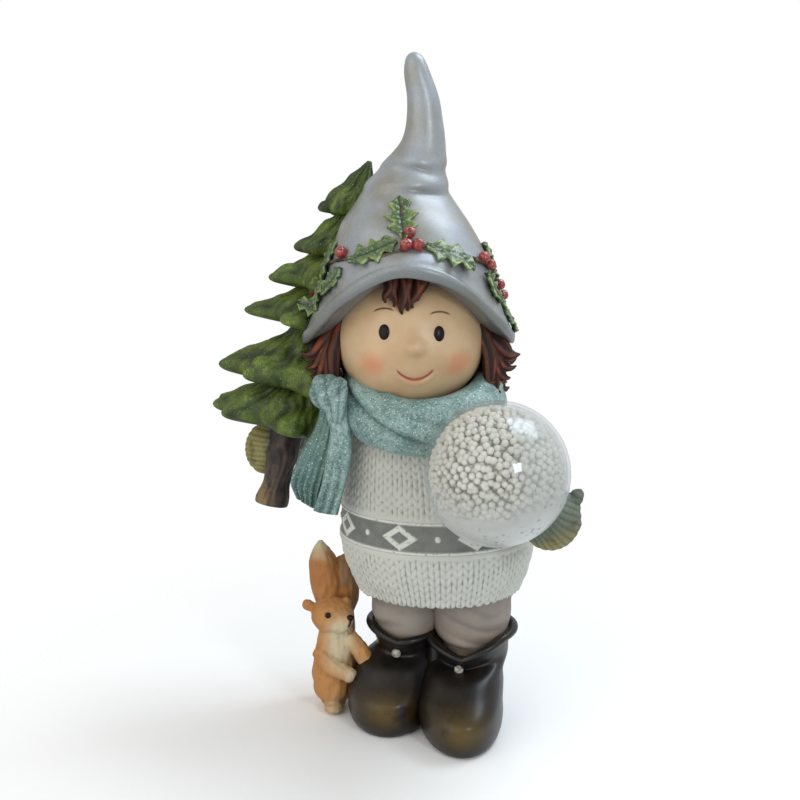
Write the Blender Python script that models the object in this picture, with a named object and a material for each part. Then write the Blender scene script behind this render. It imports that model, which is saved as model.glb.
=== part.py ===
"""A cast and painted winter figurine: a child in a tall curled hat carries a fir tree and holds a clear
globe filled with white beads, and a squirrel leans on one boot.

The casting is one piece. The clear globe is a hollow ball whose short neck is glued into a socket that
the casting holds, and the beads inside it are one packed fill. Sizes are in millimetres, with +X to the
child's left, -Y to the front and +Z up."""

import math

import bmesh
import bpy
from mathutils import Matrix, Vector

MM = 0.001
FIT_GAP = 0.3

# Boots and trousers
BOOT_HEIGHT = 50.0
BOOT_TOE_HEIGHT = 19.0
LEFT_BOOT_HALF_WIDTH = 22.6
LEFT_BOOT_LENGTH = 85.0
LEFT_BOOT_TOE_Y = -67.0
LEFT_SHAFT_RADIUS = 20.5
RIGHT_BOOT_HALF_WIDTH = 22.5
RIGHT_BOOT_LENGTH = 62.0
RIGHT_BOOT_TOE_Y = -42.0
RIGHT_SHAFT_RADIUS = 15.5
CUFF_ROLL = 2.6
CUFF_FLARE = 3.0
BUTTON_RADIUS = 2.6
FOOT_WEB_WIDTH = 13.0
FOOT_WEB_DEPTH = 27.0
LEG_SPACING = 38.0
LEFT_LEG_RADIUS = 21.0
RIGHT_LEG_RADIUS = 17.0
TROUSER_SHOWING = 24.0

# Sweater
SWEATER_LENGTH = 108.0
SWEATER_HALF_WIDTH = 52.5
SWEATER_HALF_DEPTH = 46.5
BAND_HEIGHT = 15.5
BAND_ABOVE_HEM = 31.0
BAND_RECESS = 0.9
DIAMONDS = 8
DIAMOND_WIDTH = 20.5
DIAMOND_HEIGHT = 13.6
DIAMOND_RAISE = 0.7
SLEEVE_RADIUS = 12.0
MITTEN_LENGTH = 30.0
MITTEN_WIDTH = 26.0
RIGHT_ARM_REACH = 30.5

# Scarf
SCARF_ROLL_HEIGHT = 11.6
SCARF_ROLL_DEPTH = 8.8
SCARF_UNDER_ROLL = 8.2
KNOT_RADIUS = 11.5
TAIL_LENGTH = 62.0
TAIL_WIDTH = 38.0
TAIL_THICKNESS = 9.0
FRINGE_RIBS = 7

# Head and hair
HEAD_RADIUS = 38.0
CHEEK_RADIUS = 15.0
CHEEK_RAISE = 1.0
NOSE_RADIUS = 5.6
EYE_RADIUS = 2.5
EYE_SPACING = 27.5
LOCK_RADIUS = 6.4
TUFT_RADIUS = 7.5

# Hat
BRIM_HALF_WIDTH = 56.0
BRIM_HALF_DEPTH = 47.0
BRIM_FRONT_LIFT = 39.5
BRIM_THICKNESS = 5.0
CROWN_HALF_WIDTH = 39.5
CROWN_HEIGHT = 63.0
HORN_HEIGHT = 85.0
HORN_FULLNESS = 1.0
HORN_TIP_RADIUS = 4.5
LEAF_LENGTH = 22.0
LEAF_WIDTH = 13.0
LEAF_THICKNESS = 3.6
LEAF_OUTLINE = (
    (1.0, 0.0), (0.55, 0.95), (0.1, 0.6), (-0.35, 1.0), (-0.6, 0.45),
    (-1.0, 0.0), (-0.6, -0.45), (-0.35, -1.0), (0.1, -0.6), (0.55, -0.95),
)
BERRY_RADIUS = 3.2

# Tree
TREE_HEIGHT = 147.0
TREE_LEAN = 17.6
TREE_REACH = 49.0
TREE_LOBES = 7
TRUNK_RADIUS = 8.2
TRUNK_SHOWING = 44.0

# Squirrel
SQUIRREL_HEIGHT = 65.0
SQUIRREL_GIRTH = 12.5
SQUIRREL_HEAD_RADIUS = 11.5
TAIL_PLUME_LENGTH = 92.0
TAIL_PLUME_RADIUS = 8.5
SQUIRREL_STANDOFF = 7.5

# Globe
GLOBE_DIAMETER = 70.0
GLOBE_OFFSET = 30.0
GLOBE_WALL = 1.5
NECK_RADIUS = 9.0
NECK_LENGTH = 4.0
SOCKET_DEPTH = 5.0
BEAD_BUMP = 0.8


def clear_scene():
    for obj in list(bpy.data.objects):
        bpy.data.objects.remove(obj, do_unlink=True)


def paint(name, red, green, blue, roughness, metallic=0.0, alpha=1.0):
    """A painted finish, its colour given as screen values from 0 to 255."""
    material = bpy.data.materials.new(name)
    material.use_nodes = True
    shader = material.node_tree.nodes["Principled BSDF"]
    linear = [(value / 255) ** 2.2 for value in (red, green, blue)]
    shader.inputs["Base Color"].default_value = (*linear, 1)
    shader.inputs["Roughness"].default_value = roughness
    shader.inputs["Metallic"].default_value = metallic
    shader.inputs["Alpha"].default_value = alpha
    material.diffuse_color = (*linear, alpha)
    return material


def polar(angle):
    """Unit direction in plan: 0 degrees is the front, 90 degrees is the child's left."""
    turn = math.radians(angle)
    return Vector((math.sin(turn), -math.cos(turn), 0))


def smooth(points, steps):
    """Points on a Catmull-Rom curve through rows of numbers, with this many steps to each span."""
    rows = [points[0], *points, points[-1]]
    found = []
    for i in range(1, len(rows) - 2):
        spans = list(zip(rows[i - 1], rows[i], rows[i + 1], rows[i + 2]))
        for k in range(steps):
            t = k / steps
            found.append([
                b + 0.5 * t * (c - a + t * (2 * a - 5 * b + 4 * c - d + t * (3 * b - a - 3 * c + d)))
                for a, b, c, d in spans
            ])
    found.append(list(points[-1]))
    return found


def oval(centre, half_width, half_depth, count, lift=0.0):
    """A level ring, turning from the front to the child's left, whose front half is raised by lift."""
    ring = []
    for i in range(count):
        way = polar(360 * i / count)
        rise = lift * max(0.0, -way.y) ** 2
        x, y = centre[0] + half_width * way.x, centre[1] + half_depth * way.y
        ring.append(Vector((x, y, centre[2] + rise)))
    return ring


class Casting:
    """Collects the shapes that are cast together, and joins them into one solid."""

    def __init__(self):
        self.shapes = bpy.data.collections.new("cast_shapes")
        bpy.context.scene.collection.children.link(self.shapes)

    def keep(self, name, mesh, material):
        mesh.transform(Matrix.Scale(MM, 4))
        mesh.materials.append(material)
        obj = bpy.data.objects.new(name, mesh)
        obj.hide_render = True
        obj.display_type = "WIRE"
        self.shapes.objects.link(obj)
        return obj

    def skin(self, name, rings, material, loop=False):
        """A closed skin over rings of equal count, capped at both ends unless it closes on itself."""
        shape = bmesh.new()
        rows = [[shape.verts.new(point) for point in ring] for ring in rings]
        pairs = list(zip(rows, rows[1:] + rows[:1])) if loop else list(zip(rows, rows[1:]))
        for low, high in pairs:
            for i in range(len(low)):
                k = (i + 1) % len(low)
                shape.faces.new((low[i], low[k], high[k], high[i]))
        if not loop:
            shape.faces.new(reversed(rows[0]))
            shape.faces.new(rows[-1])
        return self.finish(name, shape, material)

    def finish(self, name, shape, material):
        bmesh.ops.recalc_face_normals(shape, faces=shape.faces)
        mesh = bpy.data.meshes.new(name)
        shape.to_mesh(mesh)
        shape.free()
        return self.keep(name, mesh, material)

    def tube(self, name, path, material, sides=10, steps=3, flat=1.0, across=None, loop=False):
        """A round or flattened tube on a smooth path of x, y, z and radius rows.

        With across, each section is widest along that direction, and flat times as thick the other way."""
        rows = smooth(path, steps)
        if loop:
            rows = rows[:-1]
        rings = []
        side = Vector(across) if across else None
        for i, row in enumerate(rows):
            here = Vector(row[:3])
            ahead = Vector(rows[(i + 1) % len(rows)][:3]) if loop or i + 1 < len(rows) else here
            behind = Vector(rows[i - 1][:3]) if loop or i else here
            along = (ahead - behind).normalized()
            if side is None:
                side = along.cross(Vector((0, 0, 1)) if abs(along.z) < 0.9 else Vector((0, 1, 0)))
            wide = (side - along * side.dot(along)).normalized()
            side = Vector(across) if across else wide
            thick = along.cross(wide)
            rings.append([
                here + row[3] * (math.cos(turn) * wide + flat * math.sin(turn) * thick)
                for turn in (2 * math.pi * k / sides for k in range(sides))
            ])
        return self.skin(name, rings, material, loop)

    def pebble(self, name, centre, radii, material, turn=(0, 0, 0), around=12, up=8):
        """An egg-shaped body from a stretched sphere."""
        shape = bmesh.new()
        bmesh.ops.create_uvsphere(shape, u_segments=around, v_segments=up, radius=1)
        place = Matrix.Translation(centre)
        for axis, angle in zip("XYZ", turn):
            place = place @ Matrix.Rotation(math.radians(angle), 4, axis)
        bmesh.ops.transform(shape, matrix=place @ Matrix.Diagonal((*radii, 1)), verts=shape.verts)
        return self.finish(name, shape, material)


def boot(cast, name, paints, size, middle, shaft_middle, notch, notch_at, button_at):
    """A round-toed boot with a rolled cuff that dips to a notch in front, and a button under it.

    Its size is its half width, length, toe's y and shaft radius."""
    half_width, length, toe_y, shaft_radius = size
    half = length / 2
    sole = (middle, toe_y + half)
    shaft = (shaft_middle, toe_y + length - shaft_radius * 1.2 - 2)
    instep = (sole[0] * 0.75 + shaft[0] * 0.25, sole[1] + half * 0.12, BOOT_TOE_HEIGHT * 1.4)
    ankle = ((sole[0] + shaft[0]) / 2, (sole[1] + shaft[1]) / 2, BOOT_TOE_HEIGHT * 1.75)
    count = 16
    rings = [
        oval((*sole, 0), half_width * 0.78, half * 0.84, count),
        oval((*sole, 4), half_width * 0.97, half * 0.975, count),
        oval((*sole, BOOT_TOE_HEIGHT * 0.65), half_width * 1.02, half * 0.99, count),
        oval((*sole, BOOT_TOE_HEIGHT), half_width, half * 0.95, count),
        oval(instep, half_width * 0.96, half * 0.8, count),
        oval(ankle, half_width * 0.89, half * 0.63, count),
        oval((*shaft, BOOT_HEIGHT * 0.78), shaft_radius, shaft_radius * 1.1, count),
    ]

    def rim(out, rise=0.0):
        ring = []
        for i in range(count):
            angle = 360 * i / count
            way = polar(angle)
            dip = notch * max(0.0, 1 - abs((angle - notch_at + 180) % 360 - 180) / 60)
            ring.append(Vector((
                shaft[0] + (shaft_radius + out) * way.x,
                shaft[1] + (shaft_radius * 1.1 + out) * way.y,
                BOOT_HEIGHT + 2.5 - dip + rise,
            )))
        return ring

    rings.append(rim(CUFF_FLARE - 1.4, CUFF_ROLL * 0.7))
    rings.append(rim(-shaft_radius * 0.3, CUFF_ROLL * 0.7))
    rings.append(oval((*shaft, BOOT_HEIGHT * 0.8), shaft_radius * 0.3, shaft_radius * 0.3, count))
    cast.skin(name, rings, paints["boot"])
    roll = [(*point, CUFF_ROLL) for point in rim(CUFF_FLARE)]
    cast.tube(name + "_cuff", roll + roll[:1], paints["cuff"], sides=5, steps=1, loop=True)
    way = polar(button_at)
    front = Vector((
        shaft[0] + (shaft_radius + 0.8) * way.x,
        shaft[1] + (shaft_radius * 1.1 + 0.8) * way.y,
        BOOT_HEIGHT + 2.5 - notch - CUFF_ROLL * 2,
    ))
    cast.pebble(name + "_button", front, (BUTTON_RADIUS,) * 3, paints["button"], around=6, up=4)


def boots(cast, paints, left_x, right_x):
    """The long left boot and the shorter right one."""
    left = (LEFT_BOOT_HALF_WIDTH, LEFT_BOOT_LENGTH, LEFT_BOOT_TOE_Y, LEFT_SHAFT_RADIUS)
    boot(cast, "left_boot", paints, left, left_x - 7.5, left_x - 1.5, 8.5, -14, -26)
    right = (RIGHT_BOOT_HALF_WIDTH, RIGHT_BOOT_LENGTH, RIGHT_BOOT_TOE_Y, RIGHT_SHAFT_RADIUS)
    boot(cast, "right_boot", paints, right, right_x - 8, right_x, 5.5, -10, -24)


def legs(cast, paints, left_x, right_x, hem):
    """Two trouser legs, puffed over the boots, and the webs that run them and the boots together."""
    wide, deep = FOOT_WEB_WIDTH / 2, FOOT_WEB_DEPTH / 2
    x = (left_x + right_x) / 2 - 1.5
    foot = ((0, 0.9), (BOOT_HEIGHT * 0.5, 1.0), (BOOT_HEIGHT * 0.93, 0.85))
    rings = [oval((x, -6, z), wide * share, deep * share, 10) for z, share in foot]
    cast.skin("boot_web", rings, paints["boot"])
    knee = ((BOOT_HEIGHT * 0.85, 0.7), (BOOT_HEIGHT + 6, 0.85), (hem + 6, 0.85))
    rings = [oval((x, -4, z), wide * share, deep * share, 10) for z, share in knee]
    cast.skin("leg_web", rings, paints["trousers"])
    for name, x, y, radius in (
        ("left_leg", left_x, -4, LEFT_LEG_RADIUS),
        ("right_leg", right_x, -1, RIGHT_LEG_RADIUS),
    ):
        puff = BOOT_HEIGHT + TROUSER_SHOWING * 0.35
        top = hem + 14
        rows = [(BOOT_HEIGHT * 0.8, 0.8), (BOOT_HEIGHT - 1, 0.94), (puff, 1.02), (hem, 1.0), (top, 0.9)]
        rings = [oval((x, y, z), radius * share, radius * share * 1.05, 14) for z, share in rows]
        cast.skin(name, rings, paints["trousers"])


def sweater_size(share):
    """Half width and half depth of the sweater at a share of its length above the hem."""
    rows = smooth([(0, 0.85), (0.11, 0.945), (0.24, 1.0), (0.38, 0.985), (0.52, 0.93),
                   (0.7, 0.86), (0.84, 0.78), (0.93, 0.64), (1.0, 0.46)], 8)
    for low, high in zip(rows, rows[1:]):
        if low[0] <= share <= high[0]:
            part = (share - low[0]) / (high[0] - low[0])
            size = low[1] + part * (high[1] - low[1])
            return SWEATER_HALF_WIDTH * size, SWEATER_HALF_DEPTH * size
    return SWEATER_HALF_WIDTH * rows[-1][1], SWEATER_HALF_DEPTH * rows[-1][1]


def sweater_middle(share):
    """The body leans a little to the child's right towards the neck."""
    return 3.2 - 8.6 * share ** 1.5, 0.0


def sweater(cast, paints, hem):
    """The knitted sweater, with a smooth band set into it between two raised edges."""
    count = 22
    band_low = BAND_ABOVE_HEM / SWEATER_LENGTH
    band_high = (BAND_ABOVE_HEM + BAND_HEIGHT) / SWEATER_LENGTH
    step = 0.8 / SWEATER_LENGTH

    def level(share, inset=0.0):
        wide, deep = sweater_size(share)
        centre = (*sweater_middle(share), hem + share * SWEATER_LENGTH)
        return oval(centre, wide - inset, deep - inset, count)

    plain = [level(share) for share in (0, 0.05, 0.12, 0.2)]
    lower = [level(0, 6.0)] + plain + [level(band_low - step)]
    upper = [level(band_high + step)] + [level(share) for share in (0.55, 0.7, 0.83, 0.92, 1.0)]
    band = [level(band_low, BAND_RECESS), level(band_high, BAND_RECESS)]
    body = cast.skin("sweater", lower + band + upper, paints["knit"])
    body.data.materials.append(paints["band"])
    for face in body.data.polygons:
        height = face.center.z / MM - hem
        if BAND_ABOVE_HEM < height < BAND_ABOVE_HEM + BAND_HEIGHT:
            face.material_index = 1
    middle = (band_low + band_high) / 2
    wide, deep = sweater_size(middle)
    centre = Vector((*sweater_middle(middle), hem + middle * SWEATER_LENGTH))
    for i in range(DIAMONDS):
        bearing = 360 * (i + 0.5) / DIAMONDS
        shape = bmesh.new()
        loops = []
        for out, size in ((-2.5, 1.0), (DIAMOND_RAISE, 1.0), (DIAMOND_RAISE, 0.48), (-2.5, 0.48)):
            loop = []
            for turn, rise in ((-1, 0), (0, -1), (1, 0), (0, 1)):
                way = polar(bearing + turn * size * math.degrees(DIAMOND_WIDTH / 2 / wide))
                loop.append(shape.verts.new(centre + Vector((
                    (wide - BAND_RECESS + out) * way.x,
                    (deep - BAND_RECESS + out) * way.y,
                    rise * size * DIAMOND_HEIGHT / 2,
                ))))
            loops.append(loop)
        for near, far in zip(loops, loops[1:] + loops[:1]):
            for k in range(4):
                shape.faces.new((near[k], near[(k + 1) % 4], far[(k + 1) % 4], far[k]))
        cast.finish(f"diamond_{i}", shape, paints["diamond"])


def arms(cast, paints, shoulder, globe, trunk_hold):
    """The right arm reaches round the trunk, and the left arm comes up under the globe."""
    r = SLEEVE_RADIUS
    hand = trunk_hold + Vector((-7, 10, 1))
    cast.tube("right_sleeve", [
        (shoulder.x - 26, shoulder.y + 4, shoulder.z - 2, r),
        (shoulder.x - 44, shoulder.y + 16, shoulder.z + 2, r),
        (hand.x + 17, hand.y + 10, hand.z + 18, r),
        (hand.x + 13, hand.y + 8, hand.z + 1, r),
        (hand.x + 5, hand.y + 3, hand.z - 2, r * 0.85),
    ], paints["knit"], sides=8, steps=1)
    radii = (MITTEN_WIDTH * 0.5, MITTEN_WIDTH * 0.44, MITTEN_LENGTH * 0.5)
    cast.pebble("right_mitten", hand, radii, paints["mitten"], turn=(0, 8, 0), around=10, up=6)
    palm = globe + Vector((0.77, 0.45, -0.68)) * GLOBE_DIAMETER / 2
    cast.tube("left_sleeve", [
        (shoulder.x + 20, shoulder.y + 2, shoulder.z - 12, r),
        (shoulder.x + 36, shoulder.y - 3, shoulder.z - 20, r * 1.08),
        (shoulder.x + 49, shoulder.y - 12, shoulder.z - 32, r * 1.08),
        (shoulder.x + 54, shoulder.y - 24, shoulder.z - 44, r * 1.04),
        (palm.x - 1, palm.y + 12, palm.z - 2, r * 0.95),
    ], paints["knit"], sides=8, steps=1)
    radii = (MITTEN_WIDTH * 0.58, MITTEN_LENGTH * 0.62, MITTEN_WIDTH * 0.62)
    cast.pebble("left_mitten", palm, radii, paints["mitten"], turn=(0, 30, 0), around=10, up=7)
    cast.tube("left_thumb", [
        (palm.x + 7, palm.y - 1, palm.z + 1, 9.5),
        (palm.x + 11, palm.y - 1, palm.z + 8, 6),
        (palm.x + 12, palm.y - 1, palm.z + 14, 4.6),
        (palm.x + 12.2, palm.y - 1, palm.z + 17, 2),
    ], paints["mitten"], sides=7, steps=1)


def scarf(cast, paints, neck):
    """Two rolls round the neck, a knot at the child's right, and a fringed tail in two layers."""

    def wrap(name, size, roll, thick, front_drop, z, material):
        rings = []
        for i in range(20):
            way = polar(360 * i / 20)
            drop = front_drop * max(0.0, -way.y) ** 1.5
            at = Vector((neck.x + size[0] * way.x, neck.y + size[1] * way.y, z - drop))
            out = Vector((way.x, way.y, 0.25)).normalized()
            rise = Vector((-way.x * 0.25, -way.y * 0.25, 1)).normalized()
            turns = [2 * math.pi * k / 7 for k in range(7)]
            wide, tall = out * thick, rise * roll
            rings.append([at + wide * math.cos(turn) + tall * math.sin(turn) for turn in turns])
        cast.skin(name, rings, material, loop=True)

    over, under = (36.5, 37.0), (36.0, 38.5)
    wrap("scarf_over", over, SCARF_ROLL_HEIGHT, SCARF_ROLL_DEPTH, 10.0, neck.z + 8, paints["scarf"])
    wrap("scarf_under", under, SCARF_UNDER_ROLL, SCARF_UNDER_ROLL, 9.5, neck.z - 1.5, paints["scarf"])
    knot = Vector((neck.x - 47, neck.y - 24, neck.z + 9))
    radii = (KNOT_RADIUS * 0.97, KNOT_RADIUS * 0.88, KNOT_RADIUS * 1.07)
    cast.pebble("scarf_knot", knot, radii, paints["scarf"], turn=(0, -20, 0), around=10, up=6)
    cast.tube("knot_fold", [
        (knot.x + 2, knot.y - 5, knot.z + 9, 4),
        (knot.x + 7, knot.y - 7, knot.z, 5.7),
        (knot.x + 5, knot.y - 6, knot.z - 10, 4.5),
    ], paints["scarf"], sides=6, steps=1)

    def tail(name, left, right, deep, ribs):
        """A strip between two edges of x, y, z offsets from the knot, ribbed towards its foot."""
        edges = [left, right]
        last = len(edges[0]) - 1
        rings = []
        for row, (a, b) in enumerate(zip(*edges)):
            a, b = knot + Vector(a), knot + Vector(b)
            part = row / last
            wave = 1.6 * part ** 2
            front = []
            for k in range(ribs * 2 + 1):
                at = a.lerp(b, k / (ribs * 2))
                turn = math.cos(math.pi * k)
                front.append(at + Vector((0, -deep - wave * turn, -1.2 * turn if row == last else 0)))
            back = [b.lerp(a, k / 3) + Vector((0, deep, 0)) for k in range(4)]
            rings.append(front + back)
        cast.skin(name, rings, paints["scarf"])

    t, w, d = TAIL_LENGTH, TAIL_WIDTH, TAIL_THICKNESS / 2
    foot = (-w * 0.5, 3, -t * 0.82)
    left = [(-3, 5, -2), (-4 - w * 0.1, 3, -t * 0.3), (1 - w * 0.42, 2, -t * 0.55), foot]
    right = [(6, 5, -4), (5, 3, -t * 0.35), (4, 2, -t * 0.7), (2, 3, -t)]
    tail("scarf_tail_under", left, right, d, FRINGE_RIBS // 2 + 2)
    left = [(0, 0, -2), (0, -3, -t * 0.35), (-1, -4, -t * 0.65), (1 - w * 0.14, -3, -t * 0.96)]
    right = [(8, 0, -4), (11, -3, -t * 0.35), (12, -4, -t * 0.65), (10, -3, -t)]
    tail("scarf_tail", left, right, d, FRINGE_RIBS // 2)


def head(cast, paints, centre):
    """A round doll's head with full cheeks, a button nose and two small raised eyes."""
    deep = HEAD_RADIUS * 0.97
    radii = (HEAD_RADIUS, deep, HEAD_RADIUS * 0.96)
    cast.pebble("head", centre, radii, paints["skin"], around=20, up=12)
    for name, side in (("right_cheek", -1), ("left_cheek", 1)):
        way = Vector((side * 0.52, -0.83, -0.2)).normalized()
        spot = centre + way * (deep - CHEEK_RADIUS + CHEEK_RAISE)
        cast.pebble(name, spot, (CHEEK_RADIUS,) * 3, paints["skin"], around=10, up=6)
    radii = (NOSE_RADIUS, NOSE_RADIUS * 0.9, NOSE_RADIUS * 0.85)
    cast.pebble("nose", centre + Vector((3, -deep, 0.5)), radii, paints["skin"], around=8, up=5)
    radii = (EYE_RADIUS, EYE_RADIUS * 0.7, EYE_RADIUS * 1.35)
    for name, side in (("right_eye", -1), ("left_eye", 1)):
        x = side * EYE_SPACING / 2
        z = 9.0 - side * 0.5
        y = -math.sqrt(deep ** 2 - x ** 2 - z ** 2)
        cast.pebble(name, centre + Vector((x, y + 0.9, z)), radii, paints["eye"], around=8, up=4)


def hair(cast, paints, centre):
    """A cap of hair behind, flicked-out locks at both sides, and a tuft on the forehead."""
    radii = (HEAD_RADIUS * 1.09, HEAD_RADIUS * 0.98, HEAD_RADIUS * 0.92)
    cast.pebble("hair_back", centre + Vector((0, 9, -3)), radii, paints["hair"], around=14, up=8)
    r = LOCK_RADIUS
    for side in (-1, 1):
        x = centre.x + side * HEAD_RADIUS
        for i, (out, drop, back, share) in enumerate((
            (17, -8, -4, 1.0), (13, -18, -6, 1.0), (7, -27, -8, 1.0), (15, -14, 9, 1.2), (9, -28, 9, 1.2),
        )):
            cast.tube(f"lock_{'left' if side > 0 else 'right'}_{i}", [
                (x - side * 5, centre.y + back + 5, centre.z + 8, r * share),
                (x + side * 3, centre.y + back + 2, centre.z + 2 + drop * 0.35, r * share),
                (x + side * out * 0.75, centre.y + back, centre.z + drop * 0.85, r * 0.75 * share),
                (x + side * out, centre.y + back - 1, centre.z + drop, r * 0.25 * share),
            ], paints["hair"], sides=6, steps=1)
    y = centre.y - HEAD_RADIUS * 0.97
    t = TUFT_RADIUS
    for i, (x, tip, low, share) in enumerate(((-9, -10, 27, 0.6), (-4, -3, 20, 0.75), (3, 1, 23, 0.7))):
        cast.tube(f"tuft_{i}", [
            (centre.x + x, y + 14, centre.z + 36, t * share),
            (centre.x + x, y + 8, centre.z + 29, t * share),
            (centre.x + (x + tip) / 2, y + 4.5, centre.z + (29 + low) / 2, t * share * 0.7),
            (centre.x + tip, y + 3.0, centre.z + low, t * share * 0.2),
        ], paints["hair"], sides=6, steps=1)


class Hat:
    """The hat's skin: level rings from the brim's lip to the horn's tip, the brim's front raised."""

    def __init__(self, centre):
        self.centre = centre
        lip = centre.z - 3.5
        top = lip + CROWN_HEIGHT
        wide, deep, crown, lift = BRIM_HALF_WIDTH, BRIM_HALF_DEPTH, CROWN_HALF_WIDTH, BRIM_FRONT_LIFT
        self.rows = [
            (lip + 0.5, -1, 0, wide, deep, lift),
            (lip + BRIM_THICKNESS, -1, 0, wide - 0.5, deep - 0.5, lift),
            (lip + 14, -1, 0, wide - 4.2, deep - 2.7, lift * 0.82),
            (lip + 28, -1, 0, (wide + crown) / 2 - 1.2, (deep + crown) / 2 - 0.7, lift * 0.52),
            (lip + 41, -1, 1, crown + 2.8, crown + 0.8, lift * 0.25),
            (lip + 50, -1.5, 2, crown - 0.7, crown - 1.7, lift * 0.08),
            (top, -3, 3, crown - 6.6, crown - 6.6, 0),
        ]
        horn = [
            (0.15, -3.0, 24.4), (0.19, -2.6, 22.2), (0.24, -1.9, 21.3), (0.31, 0.4, 17.5),
            (0.36, 2.1, 16.6), (0.43, 4.5, 13.8), (0.50, 6.4, 11.7), (0.59, 7.0, 10.2),
            (0.74, 6.3, 8.5), (0.88, 3.4, 6.5),
        ]
        for share, x, radius in horn:
            r = radius * HORN_FULLNESS
            self.rows.append((top + HORN_HEIGHT * share, x, 4 - 3 * share, r, r * 0.97, 0))
        r = HORN_TIP_RADIUS
        self.rows.append((top + HORN_HEIGHT * 0.975, 2.0, 1, r * 0.85, r * 0.85, 0))
        self.rows.append((top + HORN_HEIGHT, 1.6, 1, r * 0.35, r * 0.35, 0))

    def ring(self, row, count):
        z, x, y, wide, deep, lift = row
        return oval((self.centre.x + x, self.centre.y + y + 6, z), wide, deep, count, lift)

    def at(self, angle, height):
        """A point on the hat at a bearing and a height above its lowest edge, with three directions."""

        def point(bearing, r):
            way = polar(bearing)
            return Vector((
                self.centre.x + r[1] + r[3] * way.x,
                self.centre.y + r[2] + 6 + r[4] * way.y,
                r[0] + r[5] * max(0.0, -way.y) ** 2,
            ))

        goal = self.rows[0][0] + height
        low = 1
        while low < len(self.rows) - 2 and point(angle, self.rows[low + 1]).z < goal:
            low += 1
        under, over = point(angle, self.rows[low]), point(angle, self.rows[low + 1])
        share = min(1.0, max(0.0, (goal - under.z) / (over.z - under.z)))
        row = [a + (b - a) * share for a, b in zip(self.rows[low], self.rows[low + 1])]
        across = (point(angle + 2, row) - point(angle - 2, row)).normalized()
        rise = (over - under).normalized()
        rise = (rise - across * rise.dot(across)).normalized()
        return point(angle, row), across, rise, across.cross(rise)

    def cast(self, cast, paints):
        count = 20
        lip = self.rows[0]
        inner = (lip[0] + 2.5, lip[1], lip[2], lip[3] - BRIM_THICKNESS, lip[4] - BRIM_THICKNESS, lip[5])
        hollow = (lip[0] + 11, lip[1], lip[2], HEAD_RADIUS - 3, HEAD_RADIUS - 8, BRIM_FRONT_LIFT * 0.7)
        rings = [self.ring(row, count) for row in [hollow, inner] + self.rows]
        cast.skin("hat", rings, paints["hat"])


def garland(cast, paints, hat):
    """Holly leaves and berries laid on the hat just above the brim."""

    def leaf(name, angle, height, turn, size=1.0):
        here, across, rise, out = hat.at(angle, height)
        spin = math.radians(turn)
        along = across * math.cos(spin) + rise * math.sin(spin)
        side = out.cross(along)
        outline = []
        long, wide = along * LEAF_LENGTH / 2 * size, side * LEAF_WIDTH / 2 * size
        for reach, spread in LEAF_OUTLINE:
            outline.append(here + long * reach + wide * spread)
        shape = bmesh.new()
        under = [shape.verts.new(point - out * LEAF_THICKNESS) for point in outline]
        over = [shape.verts.new(point + out * LEAF_THICKNESS * 0.45) for point in outline]
        ridge = shape.verts.new(here + out * LEAF_THICKNESS * 0.7)
        for k in range(len(outline)):
            n = (k + 1) % len(outline)
            shape.faces.new((under[k], under[n], over[n], over[k]))
            shape.faces.new((over[k], over[n], ridge))
        shape.faces.new(list(reversed(under)))
        cast.finish(name, shape, paints["leaf"])

    def berry(name, angle, height, size=1.0):
        here, _, _, out = hat.at(angle, height)
        spot = here + out * BERRY_RADIUS * 0.6
        cast.pebble(name, spot, (BERRY_RADIUS * size,) * 3, paints["berry"], around=5, up=4)

    places = (
        ("leaf_top", -3, 67, 98, 1.12), ("leaf_front_right", -24, 51, 8, 1.05),
        ("leaf_front_left", 30, 49, -14, 1.15), ("leaf_side_right", -76, 44, 80, 0.95),
        ("leaf_low_right", -56, 35, 35, 0.7), ("leaf_end_right", -88, 14, 20, 1.0),
        ("leaf_side_left", 88, 43, -75, 0.95), ("leaf_low_left", 66, 31, -40, 0.8),
        ("leaf_end_left", 84, 15, -60, 0.95), ("leaf_back_a", 128, 20, 15, 1.0),
        ("leaf_back_b", 180, 25, 0, 1.0), ("leaf_back_c", -128, 20, -15, 1.0),
    )
    for name, angle, height, turn, size in places:
        leaf(name, angle, height, turn, size)
    berries = (
        (3, 60, 1.0), (-1, 54, 1.05), (11, 54, 1.0), (-54, 49, 1.0), (62, 46, 1.0), (70, 42, 0.9),
        (-84, 32, 0.95), (-89, 27, 0.95), (84, 31, 0.9), (150, 23, 1.0), (-150, 23, 1.0),
    )
    for i, (angle, height, size) in enumerate(berries):
        berry(f"berry_{i}", angle, height, size)


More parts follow.
